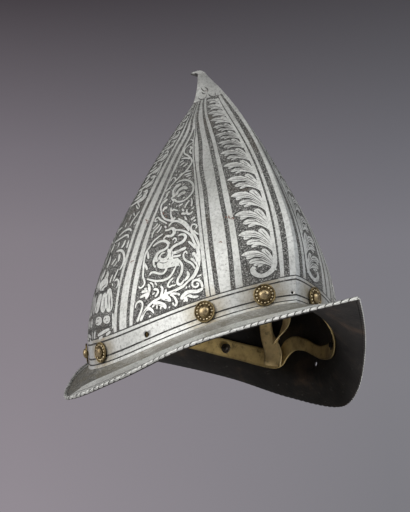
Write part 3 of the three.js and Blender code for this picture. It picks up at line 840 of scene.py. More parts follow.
# %% [markdown]
# ## Rosettes and rivets
# Each lining rivet has a brass rosette under its head: a thin disc with a raised rim and a ring of beads.
# It is turned like a lathe piece, with bmesh's spin, and small spheres are set round it. The rivet's head
# is a low dome.


# %% Brass and iron finishes
def brighter(colour):
    return tuple(min(1, tone * 1.25) for tone in colour)


def make_brass(name, bright, dark, rough):
    material, shader = begin_finish(name, bright, rough, 1.0)
    where = on_object(material)
    tarnish = cloud(material, where, 3.5, 5, 0.6)
    colour = steps(material, tarnish, (0.34, dark), (0.5, bright), (0.68, brighter(bright)))
    link(material, colour, shader, "Base Color")
    link(material, plus(material, times(material, tarnish, 0.3), rough - 0.15), shader, "Roughness")
    relief(material, shader, cloud(material, where, 1.1, 3), 0.09)
    return material


brass = make_brass("aged_brass", (0.3, 0.235, 0.115), (0.085, 0.066, 0.032), 0.45)
pale_brass = make_brass("worn_brass", (0.66, 0.57, 0.38), (0.4, 0.31, 0.17), 0.35)
rivet_brass = make_brass("rubbed_rivet_brass", (0.37, 0.29, 0.165), (0.14, 0.105, 0.06), 0.36)
rim_brass = make_brass("rim_brass", (0.22, 0.17, 0.085), (0.07, 0.054, 0.027), 0.5)
dark_brass = make_brass("brass_in_the_hollows", (0.11, 0.078, 0.036), (0.035, 0.025, 0.013), 0.55)


def make_iron():
    material, shader = begin_finish("washer_iron", (0.05, 0.042, 0.036), 0.55, 0.7)
    where = on_object(material)
    rust = cloud(material, where, 4, 5)
    colour = steps(material, rust, (0.36, (0.02, 0.018, 0.017)), (0.6, (0.075, 0.06, 0.048)))
    link(material, colour, shader, "Base Color")
    relief(material, shader, cloud(material, where, 1.6, 4), 0.15)
    return material


iron = make_iron()
print("fittings:", brass.name, dark_brass.name, iron.name)


# %% Turn the rosettes, rivets and washers
BEADS, BEAD_RADIUS, BEAD_RING, BEAD_HEIGHT = 15, 0.7, 5.3, 0.72
RIM_BEGINS, HOLLOW_BEGINS = 6.4, 3.9  # radii of the rosette's finishes
ROSETTE_PROFILE = [(2.05, 0.0), (6.9, 0.0), (7.35, 0.35), (7.3, 0.95), (6.9, 1.2), (6.5, 1.05), (6.35, 0.75),
                   (4.3, 0.7), (4.1, 0.85), (3.9, 0.85), (2.05, 0.8), (2.05, 0.0)]
ROVE_PROFILE = [(1.95, 0.05), (3.9, 0.0), (4.15, 0.25), (4.15, 0.65), (3.9, 0.88), (2.4, 0.9), (1.95, 0.8),
                (1.95, 0.05)]
TAIL_PROFILE = [(0, -1.2), (1.0, -1.12), (1.8, -0.8), (2.3, -0.1), (2.2, 0), (1.7, 0)]
HEAD_RADIUS, HEAD_HEIGHT, HEAD_RIM = 3.68, 2.3, 0.15
SHANK_RADIUS, HEAD_FOOT_RADIUS = 1.7, 3.6
ROSETTE_THICKNESS, ROVE_THICKNESS = 1.0, 0.9
BAND_ROOM = 1.8  # between the plate and the washers, for the leather
ROVE_DEPTH = PLATE + GAP + BAND_ROOM + 2 * GAP + ROVE_THICKNESS
BEAD_UNEVEN, DENT, OUT_OF_ROUND = 0.08, 0.1, 0.03  # handwork on beads, rivet heads and washers


def turn_profile(profile, sides):
    """Spins a profile of (radius, height) points round Z."""
    bm = bmesh.new()
    line = [bm.verts.new((radius, 0, height)) for radius, height in profile]
    edges = [bm.edges.new(pair) for pair in zip(line, line[1:])]
    bmesh.ops.spin(bm, geom=line + edges, cent=(0, 0, 0), axis=(0, 0, 1), angle=2 * math.pi, steps=sides,
                   use_merge=True)
    bmesh.ops.remove_doubles(bm, verts=bm.verts, dist=WELD)
    bmesh.ops.recalc_face_normals(bm, faces=bm.faces)
    return bm


def set_at(bm, station, depth, spin=0.0):
    """Turns the pieces so that Z is the wall's normal, and moves them to the station."""
    at = placed(station["point"] + station["normal"] * depth, station["normal"])
    bmesh.ops.transform(bm, matrix=at @ Matrix.Rotation(spin, 4, "Z"), verts=bm.verts)


def make_rosette(name, station, seed):
    bm = turn_profile(ROSETTE_PROFILE, 60)
    for face in bm.faces:
        middle = face.calc_center_median()
        radius = math.hypot(*middle.xy)
        face.material_index = 3 if radius > RIM_BEGINS else int(radius > HOLLOW_BEGINS and middle.z > 0.5)
    random = np.random.default_rng(seed)
    for i in range(BEADS):
        angle = 2 * math.pi * i / BEADS
        size = BEAD_RADIUS * (1 + BEAD_UNEVEN * random.normal())
        place = Matrix.Translation((BEAD_RING * math.cos(angle), BEAD_RING * math.sin(angle), BEAD_HEIGHT))
        made = bmesh.ops.create_uvsphere(bm, u_segments=12, v_segments=8, radius=size,
                                         matrix=place @ Matrix.Diagonal((1, 1, 0.95, 1)))
        for face in {face for vert in made["verts"] for face in vert.link_faces}:
            face.material_index = 2
    set_at(bm, station, station["seat"], random.uniform(0, 1))
    return finish(name, bm, [brass, dark_brass, pale_brass, rim_brass], sharp=40)


def make_rivet(name, station, seed):
    seat = station["seat"] + ROSETTE_THICKNESS + GAP
    foot = -(ROVE_DEPTH + GAP)
    dome = [(HEAD_RADIUS * math.cos(a), seat + HEAD_RIM + (HEAD_HEIGHT - HEAD_RIM) * math.sin(a))
            for a in np.linspace(0, math.pi / 2, 9)[:-1]]
    bm = turn_profile([(radius, foot + height) for radius, height in TAIL_PROFILE]
                      + [(SHANK_RADIUS, seat), (HEAD_FOOT_RADIUS, seat), *dome, (0, seat + HEAD_HEIGHT)], 32)
    random = np.random.default_rng(seed)
    for vert in bm.verts:
        if vert.co.z > seat + 2 * HEAD_RIM:
            vert.co.z -= DENT * max(0, math.sin(vert.co.x * 1.1 + seed) * math.cos(vert.co.y * 1.3))
    for face in bm.faces:
        face.material_index = int(face.calc_center_median().z < 0)
    set_at(bm, station, 0, random.uniform(0, 6))
    return finish(name, bm, [rivet_brass, iron], sharp=50)


def make_rove(name, station, seed):
    """A washer cut from sheet by hand, never quite round."""
    bm = turn_profile(ROVE_PROFILE, 36)
    first = np.random.default_rng(seed).uniform(0, 6)
    for vert in bm.verts:
        turn = math.atan2(vert.co.y, vert.co.x)
        is_rim = math.hypot(vert.co.x, vert.co.y) > 3
        shrink = 1 - OUT_OF_ROUND * (1 + math.cos(3 * turn + first)) * is_rim
        vert.co.x *= shrink
        vert.co.y *= shrink
    set_at(bm, station, -ROVE_DEPTH)
    return finish(name, bm, iron, sharp=40)


fittings = []
for seed, (name, station) in enumerate(stations.items()):
    if name in EMPTY_HOLES:
        continue
    for kind, make, slot in (("rosette", make_rosette, "rosette_brass"), ("rivet", make_rivet, "rivet_brass"),
                             ("rove", make_rove, "rove_iron")):
        piece = make(f"{kind}_new_{name}", station, seed)
        fittings.append((piece, f"{kind}_{name}", slot))
print("fittings made:", len(fittings))

# %% [markdown]
# ## The leathers inside
# A band of buff leather is riveted round the wall to hold a quilted lining that is gone. On the left it has
# torn off one rivet and stands up in a loose wave. A wider strap comes down over it beside a thin tie,
# which twists out of sight behind the strap. Each is one strip with rounded edges, carried along its own
# line.

# %% Leather
def make_leather(name, colour, dark):
    material, shader = begin_finish(name, colour, 0.82)
    where = on_object(material)
    patches = cloud(material, where, 14, 5, 0.65)
    tan = steps(material, patches, (0.32, dark), (0.52, colour), (0.74, brighter(colour)))
    grime = steps(material, cloud(material, where, 5, 6, 0.7), (0.28, 0.35), (0.46, 1.0))
    worn = steps(material, across_stroke(material), (0.72, 1.0), (0.97, 0.5))
    tan = blend_colours(material, 1.0, tan, grime, "MULTIPLY")
    link(material, blend_colours(material, 1.0, tan, worn, "MULTIPLY"), shader, "Base Color")
    dullness = times(material, cloud(material, where, 7, 3), 0.2)
    link(material, plus(material, dullness, 0.68), shader, "Roughness")
    relief(material, shader, cloud(material, where, 0.9, 4), 0.12)
    return material


band_leather = make_leather("band_leather", (0.48, 0.355, 0.145), (0.27, 0.19, 0.075))
strap_leather = make_leather("strap_leather", (0.72, 0.555, 0.28), (0.46, 0.33, 0.15))

# %% Carry a strip along its line
STRIP_SIDES, STRIP_SPACING = 16, 1.6
ROUND_ACROSS, ROUND_FACE = 0.28, 0.55  # powers that make the strip's section a flat bar with rounded edges
corners = np.arange(STRIP_SIDES + 1) / STRIP_SIDES * 2 * np.pi
SECTION_ACROSS = np.sign(np.cos(corners)) * np.abs(np.cos(corners)) ** ROUND_ACROSS
SECTION_FACE = np.sign(np.sin(corners)) * np.abs(np.sin(corners)) ** ROUND_FACE
WANDER_LENGTH, WIDTH_WANDER = 19, 0.025  # how long a strip's ripples are, and how its width varies
CROWN_TURN, CROWN_MIDDLE = 13, 26  # how far behind the bowl's middle the straps go over the crown


def on_left(knots):
    return [(4 - place, *rest) for place, *rest in knots]


def on_wall(knots, round_bowl=False):
    """Middle, direction across and width of a strip, from rows of place, height, depth and width.

    A strip that runs round the bowl has its direction across up the wall.
    """
    place, height, depth, width = np.array(knots, dtype=float).T
    turn, rise = (0, 1) if round_bowl else (NEARBY, 0)
    across = moved_in(place + turn, -height - rise, depth) - moved_in(place - turn, -height + rise, depth)
    return moved_in(place, -height, depth), unit(across), width


def under_crown(shoulder, top, ways):
    """From the shoulder to the middle of the arch: a curve that starts upward and ends level."""
    turn, end = shoulder * (0.55, 0.5, 0) + (0, CROWN_TURN, top), np.array([0, CROWN_MIDDLE, top])
    way = np.array(ways)[:, None]
    return shoulder * (1 - way) ** 2 + turn * 2 * way * (1 - way) + end * way ** 2


def turned_level(across):
    """Directions across for an arch: from the last one of the strip below to straight along the bowl."""
    turn = np.linspace(0, 1, 5)[1:, None]
    return across[-1] * (1 - turn) + np.sign(across[-1][1]) * np.array([0, 1, 0]) * turn


def carry_strip(name, middle, across, width, thickness, material, seed, ripple=0.25):
    lengths = ways_along(middle)
    fine = np.linspace(0, lengths[-1], max(8, round(lengths[-1] / STRIP_SPACING)))
    middle, across = smooth_through(lengths, middle)(fine), smooth_through(lengths, unit(across))(fine)
    width = smooth_through(lengths, width[:, None])(fine)
    along = unit(np.gradient(middle, axis=0))
    across = square_to(across, along)
    face = np.cross(along, across)
    random = np.random.default_rng(seed)
    wander = sum(random.normal() / k * np.sin(fine * k / WANDER_LENGTH + random.uniform(0, 6))
                 for k in (1, 2, 3, 5))
    middle = middle + face * (wander * ripple)[:, None]
    width = width * (1 + WIDTH_WANDER * wander[:, None])
    bm = bmesh.new()
    add_sheet(bm, middle[:, None] + across[:, None] * (SECTION_ACROSS * width / 2)[..., None]
              + face[:, None] * (SECTION_FACE * thickness / 2)[None, :, None])
    lay_uv(bm, "strip", uv_pairs(fine, SECTION_ACROSS))
    close(bm)
    bmesh.ops.holes_fill(bm, edges=[edge for edge in bm.edges if edge.is_boundary], sides=0)
    bmesh.ops.recalc_face_normals(bm, faces=bm.faces)
    return finish(name, bm, material, sharp=50)


# %% Rivet the band in
BAND_DEPTH = PLATE + GAP + BAND_ROOM / 2
BAND_MIDDLE, BAND_WIDTH, BAND_THICKNESS = 10.5, 14, 1.6
TORN_OFF = "left_4"  # the rivet from which the band has come off
LOOSE_BAND = [  # place from the front, height, depth, width
    (1.3, 10.5, 2.8, 14.5), (1.272, 11.2, 2.9, 14.5), (1.248, 14, 3.6, 14.5), (1.225, 18.5, 4.8, 13.5),
    (1.2, 22.8, 5.8, 12.5), (1.16, 26.3, 6.2, 11.5), (1.115, 26.6, 6.4, 10.5), (1.06, 25, 6.4, 9.5),
    (0.99, 21.2, 6, 9), (0.92, 17.6, 5.2, 9.5), (0.85, 15, 4.4, 11), (0.77, 12.8, 3.4, 13),
    (0.69, 11.2, 2.9, 14)]


def taut(first, last, count, width=BAND_WIDTH):
    return [(place, BAND_MIDDLE, BAND_DEPTH, width) for place in np.linspace(first, last, count)]


left = on_left(taut(1.97, 1.36, 12, 14.5) + LOOSE_BAND + taut(0.61, 0.03, 12))
bands = {}
for seed, (side, knots) in enumerate((("right", taut(0.03, 1.97, 34)), ("left", left)), 1):
    bands[side] = carry_strip(f"lining_band_{side}_new", *on_wall(knots, round_bowl=True), BAND_THICKNESS,
                              band_leather, seed, ripple=0.05)
    drill(bands[side], [(station["point"] - station["normal"] * BAND_DEPTH, station["normal"], HOLE_RADIUS)
                        for name, station in stations.items() if name.startswith(side) and name != TORN_OFF])
print("lining bands:", [band.name for band in bands.values()])

# %% Bring the straps over the crown
ARCH_TOP, ARCH_WIDTH, CROWN_THICKNESS = 168, 14.5, 1.5
TIE_UNDER, TIE_WIDTH, TIE_THICKNESS = 4.9, 8, 1.2
CROWN_FOOT = [  # place from the front, height, depth, width
    (1.272, 8, 6.9, 15), (1.273, 5.8, 7.3, 16.5), (1.274, 5.2, 8, 16.8), (1.274, 6.4, 8.6, 16.8),
    (1.274, 12.4, 8.7, 16.5), (1.292, 21, 8.2, 14.5), (1.32, 30, 7, 12.5), (1.335, 42, 5.8, 12),
    (1.345, 66, 5.8, 13), (1.35, 86, 6, 14), (1.35, 100, 6.2, 14.5)]
RIGHT_FOOT = [(1.35, height, depth, ARCH_WIDTH) for height, depth in (
    (100, 6.2), (86, 6.1), (66, 6), (44, 5.9), (26, 5.8), (14, 5.7), (3, 5.6))]
TIE_FOOT = [(1.284, 25, 4.6, 8), (1.266, 30, 5.6, 8), (1.24, 36, 6.9, 8.5), (1.195, 45, 8, 9),
            (1.17, 58, 8.4, 8.5), (1.18, 76, 8.4, 8), (1.2, 96, 8.4, 8)]
TIE_TWIST = np.radians([72, 62, 40, 12, 0, 0, 0])[:, None]
RISING, FALLING = [0.25, 0.5, 0.75, 1], [0.75, 0.5, 0.25]  # ways to the arch's middle

middle, across, width = on_wall(on_left(CROWN_FOOT))
right_middle, right_across, right_width = on_wall(RIGHT_FOOT)
arch_across = turned_level(across)
if right_across[0][1] * arch_across[-1][1] < 0:
    right_across = -right_across
ease = np.array(FALLING)[:, None]
crown_strap = carry_strip(
    "crown_strap_new",
    np.concatenate([middle, under_crown(middle[-1], ARCH_TOP, RISING),
                    under_crown(right_middle[0], ARCH_TOP, FALLING), right_middle]),
    np.concatenate([across, arch_across, right_across[0] * (1 - ease) + arch_across[-1] * ease,
                    right_across]),
    np.concatenate([width, np.full(len(RISING + FALLING), ARCH_WIDTH), right_width]),
    CROWN_THICKNESS, strap_leather, 3)

middle, across, width = on_wall(on_left(TIE_FOOT))
places, heights = np.array(on_left(TIE_FOOT))[:, :2].T
across = across * np.cos(TIE_TWIST) - outward(places, -heights) * np.sin(TIE_TWIST)
tie = carry_strip("tie_strap_new",
                  np.concatenate([middle, under_crown(middle[-1], ARCH_TOP - TIE_UNDER, RISING)]),
                  np.concatenate([across, turned_level(across)]),
                  np.concatenate([width, np.full(len(RISING), TIE_WIDTH)]), TIE_THICKNESS, strap_leather, 4)
leathers = [(piece, cad, "lining_leather") for piece, cad in (
    (bands["right"], "lining_band_right"), (bands["left"], "lining_band_left"), (crown_strap, "crown_strap"),
    (tie, "tie_strap"))]
print("leathers:", [piece.name for piece, cad, slot in leathers])

# %% [markdown]
# ## The etched ornament
# An etcher paints the figures in wax, and the acid eats the ground round them, so the figures stand at the
# old surface with a dark line where the acid bit deepest. Here every leaf and stem is a brush stroke: a
# line of points with a width at each. The scroll panel was drawn as the camera sees it, and each
# point is thrown onto the steel along its line of sight. The acanthus leaves are drawn once, in leaf
# lengths, and repeated up the keel. Front and rear, right and left, carry the same drawing, so each stroke
# is bent onto all four quarters.

# %% From the drawing to the steel
def on_quarter(rear, left, share, height):
    """Points and normals of the steel for a drawing on one quarter of the bowl."""
    place = place_of(1 - share if rear else share, height)
    place = 4 - place if left else place
    return face_point(place, -height), outward(place, -height)


def near_steel(share, height):
    return face_point(place_of(share, height), -np.asarray(height, float))


grid = np.meshgrid(np.linspace(0.002, 0.5, 250), np.linspace(19, 222, 204), indexing="ij")
grid_steel = np.stack([values.ravel() for values in grid], -1)  # share and height
grid_seen = seen_at(near_steel(*grid_steel.T))
SHARE_NEARBY, HEIGHT_NEARBY = 0.001, 0.2
LONGEST_CORRECTION = np.array([0.004, 2])
SHARE_AND_HEIGHT_LIMITS = np.array([[0.001, 18], [0.5, 222]])


def thrown(points):
    """Share and height of the steel behind points of the picture: the nearest in a grid, then corrected."""
    points = np.asarray(points, float)
    found = grid_steel[[np.argmin(((grid_seen - point) ** 2).sum(1)) for point in points]]
    for _ in range(3):
        share, height = found.T
        here = seen_at(near_steel(share, height))
        by_share = (seen_at(near_steel(share + SHARE_NEARBY, height)) - here) / SHARE_NEARBY
        by_height = (seen_at(near_steel(share, height + HEIGHT_NEARBY)) - here) / HEIGHT_NEARBY
        slopes = np.stack([by_share, by_height], -1)
        correction = np.linalg.solve(slopes, (points - here)[..., None])[..., 0]
        found = np.clip(found + np.clip(correction, -LONGEST_CORRECTION, LONGEST_CORRECTION),
                        *SHARE_AND_HEIGHT_LIMITS)
    return found


# %% Brush strokes
CONTOUR = 0.38
BITTEN = 0.15  # how far the contour lies under the old surface
BEVEL = 0.02
ACROSS = np.array([-1, -0.8, -0.6, 0, 0.6, 0.8, 1])
STROKE_STEP = 1.2
LAYERS, LAYER, LOW_LAYER = 7, 0.012, 0.004  # strokes that cross lie a hair above each other
CAPS = np.sin(np.radians([0, 35, 62, 82]))
TIP_WIDTH, THINNEST = 0.12, 0.04
END_WIDTH, END_SHARE = 0.5, 0.3  # a rounded end's least width and most share
LOOK_BACK = 0.3  # an end's direction is read over this way
CREST = 0.98  # where the flat top of a stroke ends, as a share of its half width


def brush(lengths, rows, widths):
    """Samples a stroke: its rows, then inner and outer half width, depth and way along at each."""
    total = lengths[-1]
    along = smooth_through(lengths, np.column_stack([rows, widths]))
    head, tail = (min(max(width, END_WIDTH) / 2, total * END_SHARE) for width in (widths[0], widths[-1]))
    body = np.linspace(head, total - tail, max(2, round((total - head - tail) / STROKE_STEP) + 1))
    at = np.concatenate([[-CONTOUR, 0], head - head * CAPS[:0:-1], body, total - tail + tail * CAPS[1:],
                         [total, total + CONTOUR]])
    sampled = along(np.clip(at, 0, total))
    for end, inside, where in ((0, 1, [0.0, LOOK_BACK]), (-1, -2, [total, total - LOOK_BACK])):
        first, second = along(np.array(where))
        sampled[end, :2] = sampled[inside, :2] + (first - second)[:2] / LOOK_BACK * CONTOUR
    near_end = np.clip(np.minimum(at / head, (total - at) / tail), 0, 1)
    inner = np.maximum(sampled[:, -1] / 2 * np.sqrt(1 - (1 - near_end) ** 2), THINNEST)
    outer, deep = inner + CONTOUR, np.zeros(len(at))
    outer[[0, -1]], deep[[0, -1]] = TIP_WIDTH, BITTEN
    return sampled[:, :2], inner, outer, deep, at


def laid_sheets(bm, rows_of_strokes, surface, offsets, lifts):
    """Adds one sheet for each stroke, from its rows on the surface and, at each row, offsets and lifts."""
    rows = np.concatenate(rows_of_strokes)
    points, normals = surface(rows[:, 0], rows[:, 1])
    ends = np.cumsum([len(part) for part in rows_of_strokes])[:-1]
    for middle, normal, offset, lift in zip(np.split(points, ends), np.split(normals, ends), offsets, lifts):
        side = unit(np.cross(np.gradient(middle, axis=0), normal))
        add_sheet(bm, middle[:, None] + side[:, None] * offset[..., None] + normal[:, None] * lift[..., None])
    return normals


def lay_strokes(name, strokes, surface, material):
    """Bends the sampled strokes onto a surface, all into one piece."""
    samples = [brush(*stroke) for stroke in strokes]
    offsets, lifts = [], []
    for layer, (_, inner, outer, deep, at) in enumerate(samples):
        edge = inner * CREST
        offsets.append(np.stack([-outer, -inner, -edge, inner * 0, edge, inner, outer], 1))
        top = -deep + LAYER * (layer % LAYERS)
        low = np.full(len(at), -BITTEN + LOW_LAYER * (layer % LAYERS))
        lifts.append(np.stack([low, low + BEVEL, top, top, top, low + BEVEL, low], 1))
        lifts[-1][[0, -1]] = low[0]
    bm = bmesh.new()
    normals = laid_sheets(bm, [sample[0] for sample in samples], surface, offsets, lifts)
    lay_uv(bm, "stroke", np.concatenate([uv_pairs(sample[-1], ACROSS) for sample in samples]))
    face_towards(bm, len(ACROSS) * 2, normals[3])
    return finish(name, bm, material, sharp=30)


def drawn(strokes):
    """Strokes from picture points: all their points are thrown onto the steel together."""
    rows = thrown([point for points, _ in strokes for point in points])
    ends = np.cumsum([len(points) for points, _ in strokes])[:-1]
    return [stroke(part, widths) for part, (_, widths) in zip(np.split(rows, ends), strokes)]


def stroke(rows, widths, surface=near_steel):
    """The rows of a stroke with their distances in millimetres and a width for each."""
    rows = np.asarray(rows, float)
    lengths = ways_along(surface(rows[:, 0], rows[:, 1]))
    widths = np.interp(np.linspace(0, 1, len(rows)), np.linspace(0, 1, len(widths)), widths)
    return lengths, rows, widths


# %% [markdown]
# ### The acanthus up the keel
# A stem hugs the front border. Every leaf springs from it as a fan of lobes: a round one that stands up, a
# long one that sweeps over to the far border and hooks down, and two or three below it.

# %% Draw the acanthus
LEAF_TOPS = [48, 65.5, 83.5, 101.5, 117, 131, 144, 154.5, 163.5, 172.5, 181, 189.5, 197.5, 204.5]
LEAF_LOBES = [  # across the strip, up in leaf lengths; widths as shares of the leaf's length
    ([(0.09, -0.95), (0.19, -0.55), (0.29, -0.26), (0.4, -0.07)], [0.05, 0.12, 0.19, 0.2]),
    ([(0.08, -1.05), (0.2, -0.78), (0.35, -0.47), (0.52, -0.27), (0.68, -0.17), (0.85, -0.13),
      (0.95, -0.15)], [0.05, 0.1, 0.16, 0.23, 0.25, 0.17, 0.04]),
    ([(0.44, -0.3), (0.53, -0.17), (0.6, -0.08)], [0.1, 0.14, 0.1]),
    ([(0.58, -0.3), (0.72, -0.31), (0.83, -0.38)], [0.12, 0.15, 0.11]),
    ([(0.08, -1.14), (0.22, -0.9), (0.38, -0.69), (0.55, -0.59), (0.7, -0.6), (0.77, -0.64)], [0.05, 0.1,
      0.13, 0.17, 0.17, 0.11]),
    ([(0.07, -1.3), (0.18, -1.03), (0.3, -0.86), (0.42, -0.78), (0.56, -0.78), (0.66, -0.82)], [0.07, 0.08,
      0.09, 0.1, 0.12, 0.08]),
]


def on_leaf_strip(points, top=0, length=1):
    """Share and height of points that are given across the acanthus strip and up in leaf lengths."""
    rows = []
    for across, up in points:
        height = top + up * length
        front, back = STRIPS["leaf_front"](height), STRIPS["leaf_back"](height)
        rows.append((front + (back - front) * across, height))
    return rows


LEAVES = list(zip([33] + LEAF_TOPS, LEAF_TOPS))
SMALL_ABOVE = 178  # up there a leaf has only three lobes and one vein
STEM = ([(0.085, height) for height in (36, 50, 75, 100, 125, 150, 170, 188, 203)],
        [2.8, 2.6, 2.4, 2.2, 2, 1.8, 1.5])
VOLUTE = [
    ([(0.085, 40), (0.1, 33.5), (0.18, 29.3), (0.31, 26.8), (0.46, 26), (0.6, 27.6), (0.69, 30.8),
      (0.68, 33.2), (0.61, 33)], [2.6, 3, 3.2, 3, 2.8, 3.2, 3.8, 3.6, 2.6]),
    ([(0.15, 33), (0.24, 35.5), (0.34, 36), (0.46, 34.8), (0.55, 33.8)], [1, 1.4, 1.6, 1.6, 1.2])]
acanthus = [stroke(on_leaf_strip(points), widths) for points, widths in [STEM, *VOLUTE]]
for below, top in LEAVES:
    length, is_small = top - below, top > SMALL_ABOVE
    for points, widths in LEAF_LOBES[:2] + LEAF_LOBES[4:5] if is_small else LEAF_LOBES:
        acanthus.append(stroke(on_leaf_strip(points, top, length),
                               [width * length * (1.75 if is_small else 1.2) for width in widths]))
print("acanthus strokes:", len(acanthus))

# %% [markdown]
# ### The scroll panel
# One stem rises from the lower corner, rolls up into a wheel round a winged beast, breaks out of it above
# and winds on into a second, smaller wheel and up into the tip. Leaves and curls fill what is left.

